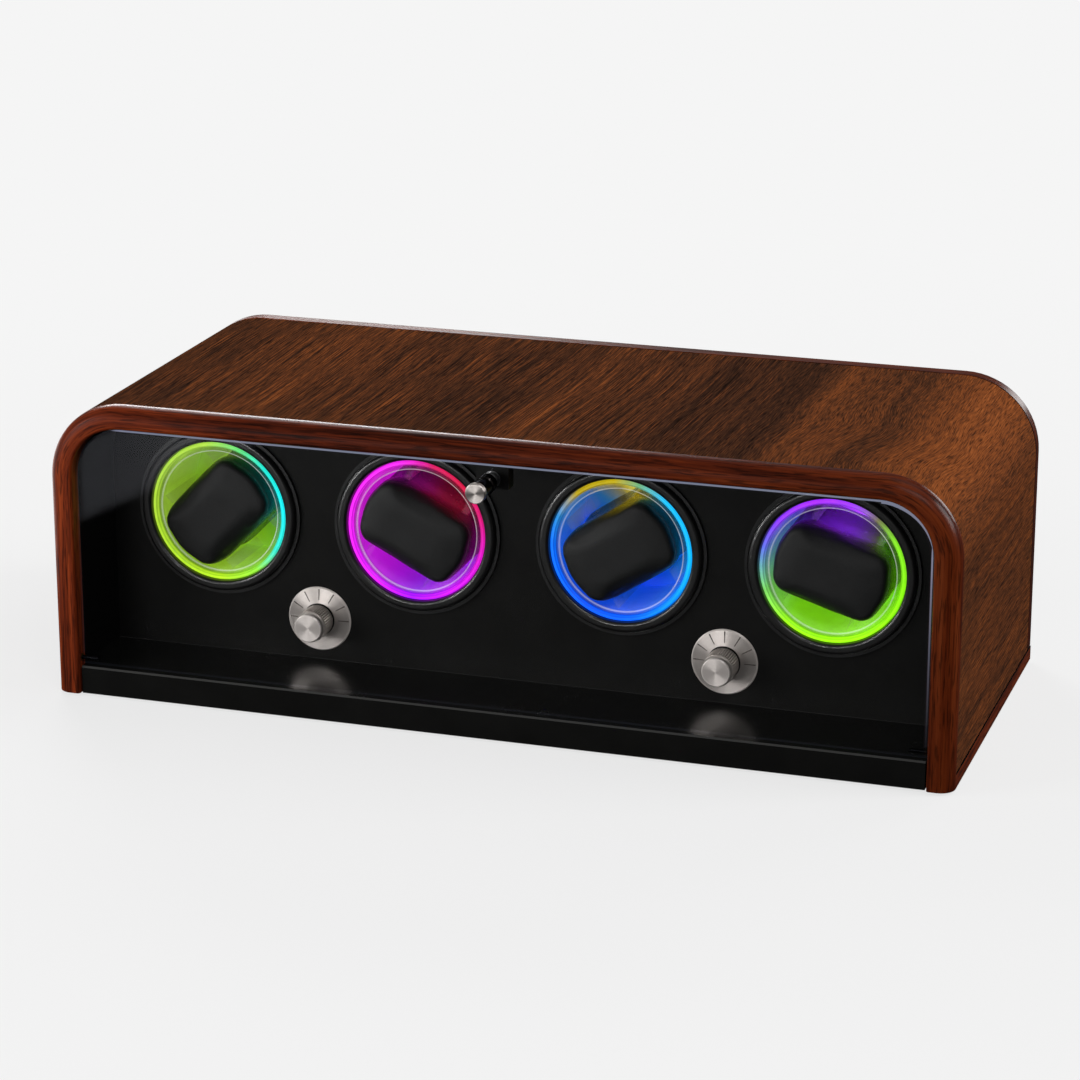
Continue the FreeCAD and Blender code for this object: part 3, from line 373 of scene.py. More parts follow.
# Painted highlight along the plinth's upper front arris.
def plinth_arris_highlight(tree, y, z):
    low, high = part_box("front_plinth")
    front = step(tree, "LESS_THAN", y, low.y + ARRIS)
    return step(tree, "MULTIPLY", front, step(tree, "GREATER_THAN", z, high.z - ARRIS))


# Painted highlight along the back edge of the cabin floor.
def floor_arris_highlight(tree, y, z):
    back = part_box("cabin_floor")[1].y
    return step(tree, "GREATER_THAN", y, back - ARRIS)


dress(lacquer_finish("floor_lacquer", 0.30, 0.22, 0.30, floor_arris_highlight), "cabin_floor")
dress(lacquer_finish("plinth_lacquer", 0.26, 0.22, 0.30, plinth_arris_highlight), "front_plinth")
panel_lacquer = lacquer_finish("panel_lacquer", 0.14, 0.34, 0.42)
dress(panel_lacquer, "base_board", "front_panel", "back_panel", "door_catch")

# Feet: four moulded rubber discs, finely pitted and dull black.
# They are stuck under the corners of the base.


def rubber_finish():
    finish, tree, surface = new_finish("rubber", {"Specular IOR Level": 0.3})
    where = spot(tree, *places(tree))
    grain = mottle(tree, where, 1400.0, detail=3.0)
    black = tones(tree, grain, [(0.3, "#141414"), (0.7, "#202020")])
    tree.links.new(black, surface.inputs["Base Color"])
    feed(tree, surface.inputs["Roughness"], between(tree, grain, 0.65, 0.85))
    relieve(tree, surface, grain, 0.00008, 0.4)
    return finish


rubber = rubber_finish()
dress(rubber, "rubber_feet")

# Bezel rings: moulded black plastic with a polished rounded band.
# One is pressed into each of the panel's four large holes.


def bezel_finish():
    finish, tree, surface = new_finish("bezel_plastic", {"Specular IOR Level": 0.5, "Coat Weight": 0.3})
    where = spot(tree, *places(tree))
    flow = mottle(tree, where, 90.0, detail=4.0)
    black = tones(tree, flow, [(0.3, "#101010"), (0.7, "#171717")])
    tree.links.new(black, surface.inputs["Base Color"])
    feed(tree, surface.inputs["Roughness"], between(tree, flow, 0.30, 0.40))
    return finish


ROTORS = (1, 2, 3, 4)
dress(bezel_finish(), *[f"bezel_ring_{rotor}" for rotor in ROTORS])

# Light guides: frosted wells fixed round the cups and lit from behind by coloured lamps, so the
# colour changes round each ring. The rim shines, the well fades inwards, and the lamps over the open
# side of a cushion are stronger.
GUIDE_LIGHTS = {
    1: ((-180, "#acd93a"), (-130, "#aee02a"), (-90, "#b0e424"), (-55, "#8ade3a"), (-30, "#2fd8c0"),
        (5, "#12dfe6"), (45, "#16dcc8"), (70, "#5fdc74"), (100, "#a8d83a"), (180, "#acd93a")),
    2: ((-180, "#ee22f4"), (-130, "#d81af8"), (-95, "#a012ff"), (-60, "#c818f0"), (-20, "#d016c0"),
        (15, "#c8146e"), (45, "#c81440"), (75, "#c41a5a"), (105, "#ea28e8"), (180, "#ee22f4")),
    3: ((-180, "#0a70ff"), (-120, "#0a58ff"), (-80, "#0a62ff"), (-45, "#0a8cff"), (0, "#10b4ff"),
        (50, "#18bcf6"), (75, "#6fae7a"), (95, "#b8a412"), (130, "#b09a18"), (155, "#2a8ad0"),
        (180, "#0a70ff")),
    4: ((-180, "#5f9ca8"), (-160, "#74c85e"), (-130, "#92f016"), (-80, "#98f212"), (-10, "#84ee12"),
        (30, "#7cd624"), (52, "#6d6a4a"), (75, "#9a3cf4"), (105, "#a42cff"), (140, "#8a3cf8"),
        (165, "#5a68d8"), (180, "#5f9ca8")),
}
GUIDE_POWERS = {1: 0.9, 2: 1.0, 3: 0.95, 4: 1.05}
ROOF_BEARINGS = {2: (13, 38, 78, 103), 3: (72, 97, 118, 134), 4: (23, 48, 88, 113)}
ROOF_GLOWS = {2: 2.4, 3: 3.0, 4: 3.0}
GUIDE_BORE = 0.033
GUIDE_WALL = 0.0022
RIM_DEPTH = 0.002
WELL_GLOW = 0.62
CELL_GLOWS = (0.75, 1.25)
RIM_GLOWS = ((0.0, 0.9), (0.10, 0.5), (0.24, 0.45), (0.36, 1.0), (1.0, 1.0))
DEPTH_GLOWS = ((0.04, 0.5), (0.09, 0.55), (0.17, 1.0), (1.0, 0.5))


def middle_of(name):
    """The middle of a piece's box."""
    low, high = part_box(name)
    return (low + high) / 2


def ring_place(tree, name):
    """Where a spot lies on a round piece: its bearing as a share of a turn, and its radius and its depth
    in metres."""
    middle = middle_of(name)
    x, y, z = places(tree)
    out = step(tree, "SUBTRACT", x, middle.x)
    up = step(tree, "SUBTRACT", z, middle.z)
    bearing = step(tree, "MULTIPLY_ADD", step(tree, "ARCTAN2", up, out), 0.5 / math.pi, 0.5)
    return bearing, off_axis(tree, out, up), step(tree, "SUBTRACT", y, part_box(name)[0].y)


def guide_finish(rotor, power):
    looks = {"Specular IOR Level": 0.4, "Roughness": 0.35}
    finish, tree, surface = new_finish(f"lit_guide_{rotor}", looks)
    name = f"light_guide_{rotor}"
    low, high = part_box(name)
    bearing, radius, depth = ring_place(tree, name)
    colour = tones(tree, bearing, [(0.5 + angle / 360, code) for angle, code in GUIDE_LIGHTS[rotor]])
    cells = mottle(tree, spot(tree, *places(tree)), 260.0)
    across = step(tree, "MULTIPLY_ADD", radius, 1 / GUIDE_WALL, -GUIDE_BORE / GUIDE_WALL)
    rim_glow = tones(tree, across, RIM_GLOWS)
    deep = tones(tree, step(tree, "DIVIDE", depth, high.y - low.y), DEPTH_GLOWS)
    lamp_glow = WELL_GLOW
    if rotor in ROOF_GLOWS:
        window = zip(ROOF_BEARINGS[rotor], (0.0, 1.0, 1.0, 0.0))
        roof = tones(tree, bearing, [(0.5 + angle / 360, share) for angle, share in window])
        lamp_glow = between(tree, roof, WELL_GLOW, ROOF_GLOWS[rotor])
    well_glow = step(tree, "MULTIPLY", lamp_glow, deep)
    in_well = step(tree, "GREATER_THAN", depth, RIM_DEPTH)
    glow = step(tree, "ADD", step(tree, "MULTIPLY", in_well, well_glow),
                step(tree, "MULTIPLY", step(tree, "SUBTRACT", 1.0, in_well), rim_glow))
    strength = step(tree, "MULTIPLY", glow, between(tree, cells, *[share * power for share in CELL_GLOWS]))
    body = mixed(tree, 0.75, colour, (0.9, 0.9, 0.9, 1.0), "MULTIPLY")
    tree.links.new(body, surface.inputs["Base Color"])
    tree.links.new(colour, surface.inputs["Emission Color"])
    tree.links.new(strength, surface.inputs["Emission Strength"])
    relieve(tree, surface, cells, 0.00005, 0.3)
    return finish


for rotor in ROTORS:
    dress(guide_finish(rotor, GUIDE_POWERS[rotor]), f"light_guide_{rotor}")

# Rotor cups: clear moulded acrylic with four lugs that hold the cushion, cemented to the shafts.
# The polished rim has a thin painted glow for the light of the guide that it gathers.
RIM_FACE = 0.0008
RIM_LINE = 0.0312
RIM_GLOW = 0.6
RIM_SOLID = 0.20
WALL_SOLID = 0.03
SLANT_SOLID = 0.14


def overlaid(tree, share, under, over):
    """Lay one shader over another by a share, as the outcome of a finish."""
    blend = tree.nodes.new("ShaderNodeMixShader")
    feed(tree, blend.inputs[0], share)
    tree.links.new(under.outputs[0], blend.inputs[1])
    tree.links.new(over.outputs[0], blend.inputs[2])
    tree.links.new(blend.outputs[0], tree.nodes["Material Output"].inputs["Surface"])


def cup_finish(name):
    white = paint("#ffffff")
    looks = {"Base Color": white, "Specular IOR Level": 0.7, "Emission Color": white}
    finish, tree, surface = new_finish(f"{name}_acrylic", looks)
    _, radius, depth = ring_place(tree, name)
    haze = mottle(tree, spot(tree, *places(tree)), 80.0, detail=3.0)
    feed(tree, surface.inputs["Roughness"], between(tree, haze, 0.04, 0.10))
    on_rim = step(tree, "LESS_THAN", depth, RIM_FACE)
    # Painted glow: a thin white line of emission at the rim's inner edge.
    painted_rim_glow = step(tree, "MULTIPLY", on_rim, step(tree, "LESS_THAN", radius, RIM_LINE))
    feed(tree, surface.inputs["Emission Strength"], step(tree, "MULTIPLY", painted_rim_glow, RIM_GLOW))
    slant = tree.nodes.new("ShaderNodeLayerWeight")
    slant.inputs["Blend"].default_value = 0.35
    body = step(tree, "MULTIPLY_ADD", slant.outputs["Facing"], SLANT_SOLID, WALL_SOLID)
    solid = step(tree, "MULTIPLY_ADD", painted_rim_glow, RIM_SOLID, body)
    overlaid(tree, solid, tree.nodes.new("ShaderNodeBsdfTransparent"), surface)
    return finish


for rotor in ROTORS:
    dress(cup_finish(f"rotor_cup_{rotor}"), f"rotor_cup_{rotor}")
    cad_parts[f"rotor_cup_{rotor}"].visible_shadow = False

# Cushions: foam blocks sewn into soft black leather, pushed into the cups between the lugs.
# The stuffing swells the leather, and each cushion has its own faint creases.
PAD_TILTS = {1: 46.0, 2: -27.0, 3: 32.5, 4: -17.0}
PAD_SLACK = 0.0012
PAD_SWELL = 0.0012
PAD_VOXEL = 0.002
PAD_FRAMES = 20
PAD_PRESSURE = 4.0
PAD_EASING = 4
CREASE = 0.00016
CREASE_RATES = (70, 45, 70)
CREASE_SHIFT = 9


def leather_finish():
    finish, tree, surface = new_finish("black_leather", {"Specular IOR Level": 0.4})
    where = spot(tree, *places(tree))
    cells = tree.nodes.new("ShaderNodeTexVoronoi")
    cells.feature = "DISTANCE_TO_EDGE"
    cells.inputs["Scale"].default_value = 900.0
    tree.links.new(where, cells.inputs["Vector"])
    grain = tones(tree, step(tree, "MULTIPLY", cells.outputs["Distance"], 3.0), [(0.0, 0.0), (0.5, 1.0)])
    folds = mottle(tree, where, 130.0, detail=4.0, roughness=0.6)
    skin = step(tree, "MULTIPLY_ADD", folds, 1.2, step(tree, "MULTIPLY", grain, 0.35))
    black = tones(tree, skin, [(0.3, "#060707"), (0.8, "#0d0e0e"), (1.0, "#131414")])
    tree.links.new(black, surface.inputs["Base Color"])
    rubbed = tones(tree, step(tree, "ABSOLUTE", frontness(tree)), [(0.25, 0.0), (0.75, 1.0)])
    matt = step(tree, "MULTIPLY_ADD", rubbed, 0.40, 0.18)
    feed(tree, surface.inputs["Roughness"], step(tree, "MULTIPLY_ADD", folds, 0.14, matt))
    relieve(tree, surface, skin, 0.00015, 0.3)
    return finish


def stuffed_pad():
    """The first cushion's leather, drawn in a little and then swollen by its stuffing."""
    pad = bpy.data.objects.new("pad_form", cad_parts["cushion_1"].data.copy())
    bpy.context.scene.collection.objects.link(pad)
    bpy.context.view_layer.objects.active = pad
    remesh = pad.modifiers.new("even_mesh", "REMESH")
    remesh.mode = "VOXEL"
    remesh.voxel_size = PAD_VOXEL
    remesh.use_smooth_shade = True
    bpy.ops.object.modifier_apply(modifier="even_mesh")
    mesh = pad.data
    for vertex, normal in [(vertex, vertex.normal.copy()) for vertex in mesh.vertices]:
        vertex.co -= normal * PAD_SLACK
    drawn_in = [vertex.co.copy() for vertex in mesh.vertices]
    cloth = pad.modifiers.new("stuffing", "CLOTH")
    cloth.settings.quality = 6
    cloth.settings.mass = 0.3
    cloth.settings.tension_stiffness = 12.0
    cloth.settings.compression_stiffness = 12.0
    cloth.settings.bending_stiffness = 0.4
    cloth.settings.use_pressure = True
    cloth.settings.uniform_pressure_force = PAD_PRESSURE
    cloth.settings.effector_weights.gravity = 0.0
    scene = bpy.context.scene
    for number in range(1, PAD_FRAMES + 1):
        scene.frame_set(number)
    shaped = pad.evaluated_get(bpy.context.evaluated_depsgraph_get()).to_mesh()
    swollen = []
    for start, vertex in zip(drawn_in, shaped.vertices):
        move = vertex.co - start
        swollen.append(start + move * min(1.0, PAD_SWELL / max(move.length, 1e-9)))
    pad.modifiers.remove(cloth)
    scene.frame_set(1)
    return pad, swollen


leather = leather_finish()
pad_form, pad_places = stuffed_pad()
first_middle = middle_of("rotor_cup_1")
for rotor in ROTORS:
    middle = middle_of(f"rotor_cup_{rotor}")
    turn = Matrix.Rotation(math.radians(PAD_TILTS[1] - PAD_TILTS[rotor]), 4, "Y")
    seat = Matrix.Translation(Vector((middle.x, 0, middle.z))) @ turn
    seat = seat @ Matrix.Translation(Vector((-first_middle.x, 0, -first_middle.z)))
    pad_mesh = pad_form.data.copy()
    for vertex, place in zip(pad_mesh.vertices, pad_places):
        vertex.co = place
    pad_mesh.transform(seat)
    pad_mesh.update()
    for vertex, normal in [(vertex, vertex.normal.copy()) for vertex in pad_mesh.vertices]:
        x, y, z = [place * rate for place, rate in zip(vertex.co, CREASE_RATES)]
        fold = noise.fractal(Vector((x, y, z + CREASE_SHIFT * rotor)), 1.0, 2.0, 3)
        vertex.co -= normal * CREASE * max(0.0, fold)
    pad_mesh.materials.clear()
    pad_mesh.materials.append(leather)
    pad = bpy.data.objects.new(f"leather_cushion_{rotor}", pad_mesh)
    bpy.context.scene.collection.objects.link(pad)
    ease = pad.modifiers.new("ease", "SMOOTH")
    ease.iterations = PAD_EASING
    fair = pad.modifiers.new("fair", "SUBSURF")
    fair.levels = 1
    fair.render_levels = 1
    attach(pad, f"pad_{rotor}")
    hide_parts(f"cushion_{rotor}")
bpy.data.objects.remove(pad_form)

# Drive: nylon shafts and pulleys, brass bushes, round rubber belts, and two geared motors in steel cans.
# The shafts turn in the bearing board, and each motor drives two of them. The bare metal is faintly worn.


def nylon_finish():
    finish, tree, surface = new_finish("black_nylon", {"Specular IOR Level": 0.4})
    where = spot(tree, *places(tree))
    marks = mottle(tree, where, 240.0, detail=3.0)
    black = tones(tree, marks, [(0.3, "#111112"), (0.7, "#1c1c1d")])
    tree.links.new(black, surface.inputs["Base Color"])
    feed(tree, surface.inputs["Roughness"], between(tree, marks, 0.45, 0.6))
    return finish


def metal_finish(name, dark, light, low, high, scale, bare=1.0):
    """Bare or plated metal with fine wear in its colour and its polish."""
    finish, tree, surface = new_finish(name, {"Metallic": bare})
    where = spot(tree, *places(tree))
    wear = mottle(tree, where, scale, detail=5.0, roughness=0.65)
    tree.links.new(tones(tree, wear, [(0.25, dark), (0.75, light)]), surface.inputs["Base Color"])
    feed(tree, surface.inputs["Roughness"], between(tree, wear, low, high))
    return finish


SIDES = ("left", "right")
nylon = nylon_finish()
brass = metal_finish("brass", "#a8853f", "#c9a75a", 0.25, 0.4, 300.0)
steel = metal_finish("plain_steel", "#8f8f90", "#b4b4b6", 0.25, 0.42, 260.0)
dress(nylon, *[f"rotor_shaft_{rotor}" for rotor in ROTORS], *[f"motor_pulley_{side}" for side in SIDES])
dress(brass, "shaft_bushes", "pivot_bushes", "board_standoffs")
dress(rubber, *[f"belt_{side}" for side in SIDES])
dress(steel, *[f"motor_{side}" for side in SIDES], "pull_screw", "catch_magnet")
dress(metal_finish("blued_steel", "#0c0c0e", "#151518", 0.3, 0.45, 300.0), "hinge_pins")

# Electrics: lamp boards behind the guides, a control board on standoffs, moulded switches and the inlet.
# The boards are green lacquered laminate with fine tracks, and the moulded pieces are black nylon.


def circuit_finish():
    finish, tree, surface = new_finish("circuit_board", {"Specular IOR Level": 0.5})
    x, y, z = places(tree)
    tracks = tree.nodes.new("ShaderNodeTexBrick")
    tracks.inputs["Scale"].default_value = 160.0
    tracks.inputs["Mortar Size"].default_value = 0.012
    tracks.inputs["Color1"].default_value = paint("#0f4a2c")
    tracks.inputs["Color2"].default_value = paint("#125434")
    tracks.inputs["Mortar"].default_value = paint("#2f7a4e")
    tree.links.new(spot(tree, x, z, y), tracks.inputs["Vector"])
    tree.links.new(tracks.outputs["Color"], surface.inputs["Base Color"])
    feed(tree, surface.inputs["Roughness"], between(tree, tracks.outputs["Fac"], 0.32, 0.45))
    return finish


dress(circuit_finish(), "led_rings", "control_board")
dress(nylon, "selector_switches", "dc_jack")

# Back panel screws: turned steel pan heads with pressed cross recesses.
# They are driven through the panel into the rear battens.
HEAD_RADIUS = 0.0032
HEAD_HEIGHT = 0.0018
RECESS_REACH = 0.0017
RECESS_WIDTH = 0.0006
RECESS_DEPTH = 0.0009
HEAD_RINGS = 6
HEAD_SIDES = 48
SHOULDER_RINGS = 4
RECESS_RINGS = (0.70, 0.60, 0.53, 0.46, 0.38, 0.30, 0.22, 0.16, 0.12)
SHARP_EDGE = 32


def joined(name, mesh, *finishes):
    """A new piece of the box from a built mesh, shaded smooth between its sharp edges."""
    built = bpy.data.meshes.new(name)
    mesh.normal_update()
    mesh.to_mesh(built)
    mesh.free()
    built.polygons.foreach_set("use_smooth", [True] * len(built.polygons))
    built.set_sharp_from_angle(angle=math.radians(SHARP_EDGE))
    for layer in finishes:
        built.materials.append(layer)
    piece = bpy.data.objects.new(name, built)
    bpy.context.scene.collection.objects.link(piece)
    return piece


def turned(mesh, profile, x, z, angles, shape=None):
    """Turn a profile of (radius, y) points about a front-to-back axis; shape moves a point by its row
    and its angle."""
    rings = []
    for row, (radius, y) in enumerate(profile):
        if radius == 0:
            rings.append([mesh.verts.new((x, y, z))])
            continue
        ring = []
        for angle in angles:
            r, depth = shape(row, angle, radius, y) if shape else (radius, y)
            ring.append(mesh.verts.new((x + r * math.cos(angle), depth, z + r * math.sin(angle))))
        rings.append(ring)
    count = len(angles)
    for first, second in zip(rings, rings[1:]):
        for index in range(count):
            after = (index + 1) % count
            corners = [first[index % len(first)], first[after % len(first)],
                       second[after % len(second)], second[index % len(second)]]
            unique = list(dict.fromkeys(corners))
            if len(unique) > 2:
                mesh.faces.new(unique)
    bmesh.ops.recalc_face_normals(mesh, faces=mesh.faces)


def even_angles(count):
    return [2 * math.pi * index / count for index in range(count)]


def cross_recess(row, angle, radius, y):
    """Sink a screw head where the driver's cross goes."""
    across, up = abs(radius * math.cos(angle)), abs(radius * math.sin(angle))
    in_arm = min(across, up) < RECESS_WIDTH and max(across, up) < RECESS_REACH
    return radius, y - RECESS_DEPTH if in_arm else y


screw_low, screw_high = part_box("back_panel_screws")
seat_y = screw_high.y - HEAD_HEIGHT
tip_radius = HEAD_RADIUS / 2
screws = bmesh.new()
for x in (screw_low.x + HEAD_RADIUS, screw_high.x - HEAD_RADIUS):
    for z in (screw_low.z + HEAD_RADIUS, screw_high.z - HEAD_RADIUS):
        head = bmesh.new()
        dome = [(HEAD_RADIUS * math.sin(turn), seat_y + HEAD_HEIGHT * math.cos(turn))
                for turn in [math.pi / 2 * ring / HEAD_RINGS for ring in range(HEAD_RINGS, -1, -1)]]
        fine = [(HEAD_RADIUS * share, seat_y + HEAD_HEIGHT * math.sqrt(1 - share * share))
                for share in RECESS_RINGS]
        profile = [(0, screw_low.y), (tip_radius, screw_low.y), (tip_radius, seat_y)]
        profile += dome[:SHOULDER_RINGS] + fine + [(0, seat_y + HEAD_HEIGHT - RECESS_DEPTH)]
        turned(head, profile, x, z, even_angles(HEAD_SIDES), cross_recess)
        scratch = bpy.data.meshes.new("screw")
        head.to_mesh(scratch)
        head.free()
        screws.from_mesh(scratch)
        bpy.data.meshes.remove(scratch)
screw_set = joined("back_screws", screws, steel)
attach(screw_set, "case")
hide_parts("back_panel_screws")

# Selectors: a spun stainless plate engraved with setting marks, a knob with a fine straight knurl
# and a polished collar, and a spun cap let into its end.
PLATE_EDGE = 0.0005
PLATE_BORE = 0.0038
PLATE_DISH = 0.0006
GAP_RADIUS = 0.0081
LIP_RADIUS = 0.0085
MARK_ANGLES = (0, 30, 60, 90, 120, 150, 180)
MARK_HALF = 1.2
MARK_DEPTH = 0.00025
MARK_INNER = 0.0098
MARK_OUTER = 0.0154
KNURL_TEETH = 40
KNURL_STEPS = 6
KNURL_DEPTH = 0.0005
KNURL_SHADE = 0.0003
KNOB_EDGE = 0.0005
NECK_RADIUS = 0.0063
NECK_LENGTH = 0.0014
COLLAR_LENGTH = 0.0013
LINE_DEPTH = 0.0008
LINE_LENGTH = 0.0006
KNOB_CLEAR = 0.0006
COLLAR_EDGE = 0.0001
CAP_RIM = 0.0064
SPINDLE = 0.0025
MARK_STEP = 0.00002
RIM_MARGIN = 0.0001
HAIR = 0.00001


def spun_finish(name, dark, light, x, z, rim=1.0, sheen=1.0):
    """Stainless steel turned on a lathe: fine circles round the axis, and a bright edge outside the rim's
    radius."""
    finish, tree, surface = new_finish(name, {"Anisotropic": 0.85, "Anisotropic Rotation": 0.25})
    spin = tree.nodes.new("ShaderNodeTangent")
    spin.direction_type = "RADIAL"
    spin.axis = "Y"
    tree.links.new(spin.outputs[0], surface.inputs["Tangent"])
    across, y, up = places(tree)
    out = step(tree, "SUBTRACT", across, x)
    over = step(tree, "SUBTRACT", up, z)
    radius = off_axis(tree, out, over)
    circles = mottle(tree, stretched(tree, (radius, y), (9000.0, 9000.0)))
    tree.links.new(tones(tree, circles, [(0.25, dark), (0.75, light)]), surface.inputs["Base Color"])
    on_rim = step(tree, "GREATER_THAN", radius, rim)
    feed(tree, surface.inputs["Metallic"], between(tree, on_rim, sheen, 0.25))
    feed(tree, surface.inputs["Roughness"], between(tree, circles, 0.34, 0.42))
    relieve(tree, surface, circles, 0.00001, 0.15)
    return finish


def in_marks(angle):
    turn = math.degrees(angle)
    return any(abs((turn - mark + 180) % 360 - 180) < MARK_HALF for mark in MARK_ANGLES)


def mark_angles():
    """Angles for a plate's rim, with two more at each side of every setting mark."""
    edges = [mark + offset for mark in MARK_ANGLES for offset in (-1.02 * MARK_HALF, -0.98 * MARK_HALF,
                                                                  0.98 * MARK_HALF, 1.02 * MARK_HALF)]
    plain = [angle for angle in range(0, 360, 3)
             if not any(abs((angle - mark + 180) % 360 - 180) < 2 for mark in MARK_ANGLES)]
    return [math.radians(angle) for angle in sorted(angle % 360 for angle in edges + plain)]


def shaded(mesh, shade):
    """Give each face one of the piece's finishes, by where its middle lies."""
    for face in mesh.faces:
        face.material_index = shade(face.calc_center_median())


def groove_finish(name, dark, light):
    finish, tree, surface = new_finish(name, {"Roughness": 0.6, "Specular IOR Level": 0.2})
    grain = mottle(tree, spot(tree, *places(tree)), 900.0)
    tree.links.new(tones(tree, grain, [(0.3, dark), (0.7, light)]), surface.inputs["Base Color"])
    return finish


satin = metal_finish("satin_steel", "#c4bdb7", "#d6cfc9", 0.30, 0.36, 3000.0, 0.7)
painted_recess_shade = groove_finish("painted_shade_in_recesses", "#0a0a0a", "#181716")
etched = groove_finish("etched_mark", "#5d5651", "#6f6762")
for side in SIDES:
    low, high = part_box(f"knob_plate_{side}")
    x, _, z = (low + high) / 2
    plate_face = low.y
    dish_floor = plate_face + PLATE_DISH
    plate_radius = (high.x - low.x) / 2
    rim_radius = plate_radius - PLATE_EDGE
    fall = PLATE_DISH / (rim_radius - LIP_RADIUS)
    face_radii = (rim_radius, MARK_OUTER + MARK_STEP, MARK_OUTER,
                  MARK_INNER, MARK_INNER - MARK_STEP, LIP_RADIUS)
    plate_rows = [(PLATE_BORE, high.y), (plate_radius, high.y), (plate_radius, dish_floor + PLATE_EDGE)]
    plate_rows += [(radius, plate_face + fall * (radius - LIP_RADIUS)) for radius in face_radii]
    plate_rows += [(GAP_RADIUS, plate_face), (GAP_RADIUS, dish_floor), (PLATE_BORE, dish_floor),
                   (PLATE_BORE, high.y)]
    mark_rows = (5, 6)

    def engraved(row, angle, radius, y):
        return radius, y + MARK_DEPTH if row in mark_rows and in_marks(angle) else y

    # Painted shade: faces inside the gap round the knob take the near-black finish.
    def plate_shade(middle):
        radius = math.hypot(middle.x - x, middle.z - z)
        if radius < GAP_RADIUS + HAIR:
            return 1
        sunk = middle.y - plate_face - fall * (radius - LIP_RADIUS)
        return 2 if MARK_INNER < radius < MARK_OUTER and sunk > MARK_DEPTH / 4 else 0

    mesh = bmesh.new()
    turned(mesh, plate_rows, x, z, mark_angles(), engraved)
    bmesh.ops.remove_doubles(mesh, verts=mesh.verts, dist=1e-7)
    shaded(mesh, plate_shade)
    plate_rim = rim_radius - RIM_MARGIN
    plate_steel = spun_finish(f"spun_plate_{side}", "#c9c0ba", "#e6dfda", x, z, plate_rim, 0.74)
    plate = joined(f"setting_plate_{side}", mesh, plate_steel, painted_recess_shade, etched)
    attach(plate, "case")
    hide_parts(f"knob_plate_{side}")

    low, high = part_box(f"selector_knob_{side}")
    knob_front = low.y
    knob_rear = plate_face - KNOB_CLEAR
    knob_radius = (high.x - low.x) / 2
    collar_front = knob_front + NECK_LENGTH
    line_front = collar_front + COLLAR_LENGTH
    knurl_front = line_front + LINE_LENGTH
    knurl_rear = knob_rear - KNOB_EDGE
    knob_rows = [(0, knob_front), (NECK_RADIUS, knob_front), (NECK_RADIUS, collar_front),
                 (knob_radius - COLLAR_EDGE, collar_front), (knob_radius, collar_front + COLLAR_EDGE),
                 (knob_radius, line_front), (knob_radius - LINE_DEPTH, line_front),
                 (knob_radius - LINE_DEPTH, knurl_front), (knob_radius, knurl_front),
                 (knob_radius, knurl_rear), (knob_radius - KNOB_EDGE, knob_rear),
                 (SPINDLE, knob_rear), (SPINDLE, high.y), (0, high.y)]
    tooth_rows = (8, 9)

    def knurled(row, angle, radius, y):
        wave = abs((angle * KNURL_TEETH / (2 * math.pi)) % 1 - 0.5) * 2
        return radius - KNURL_DEPTH * wave if row in tooth_rows else radius, y

    # Painted shade: the neck, the line groove and the knurl's valleys take the near-black finish.
    def knob_shade(middle):
        in_neck = middle.y < collar_front - HAIR
        in_line = line_front - HAIR < middle.y < knurl_front - HAIR
        radius = math.hypot(middle.x - x, middle.z - z)
        in_tooth = knurl_front < middle.y < knurl_rear and radius < knob_radius - KNURL_SHADE
        return 1 if in_neck or in_line or in_tooth else 0

    mesh = bmesh.new()
    turned(mesh, knob_rows, x, z, even_angles(KNURL_TEETH * KNURL_STEPS), knurled)
    shaded(mesh, knob_shade)
    knob = joined(f"knurled_knob_{side}", mesh, satin, painted_recess_shade)
    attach(knob, f"selector_{side}")
    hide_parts(f"selector_knob_{side}")
    dress(spun_finish(f"spun_cap_{side}", "#d8cfc9", "#f0e9e4", x, z, CAP_RIM, 0.52), f"knob_cap_{side}")

# Door: a clear acrylic pane with polished, bevelled edges, which have a painted glow for the light they carry
# along them.
# It turns on two steel pins just above the plinth, and a magnet holds it shut.
LIT_BAND = 0.0007
LIT_FADE = 0.09
PANE_CORNER = 0.0252
PIN_REACH = 0.0024
PIN_DEPTH = 0.030
FLAT_FACE = 0.9
BEVEL_FACE = -0.3
LIT_GLOW = 0.65
BARE_GLOW = 0.1
LIT_SOLID = 0.50
BARE_SOLID = 0.03
MIRROR_SHARE = 0.016
pane_low, pane_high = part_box("door_pane")
pin_z = middle_of("hinge_pins").z


def clamped(tree, share):
    """A share kept from 0 to 1."""
    return step(tree, "MINIMUM", step(tree, "MAXIMUM", share, 0.0), 1.0)


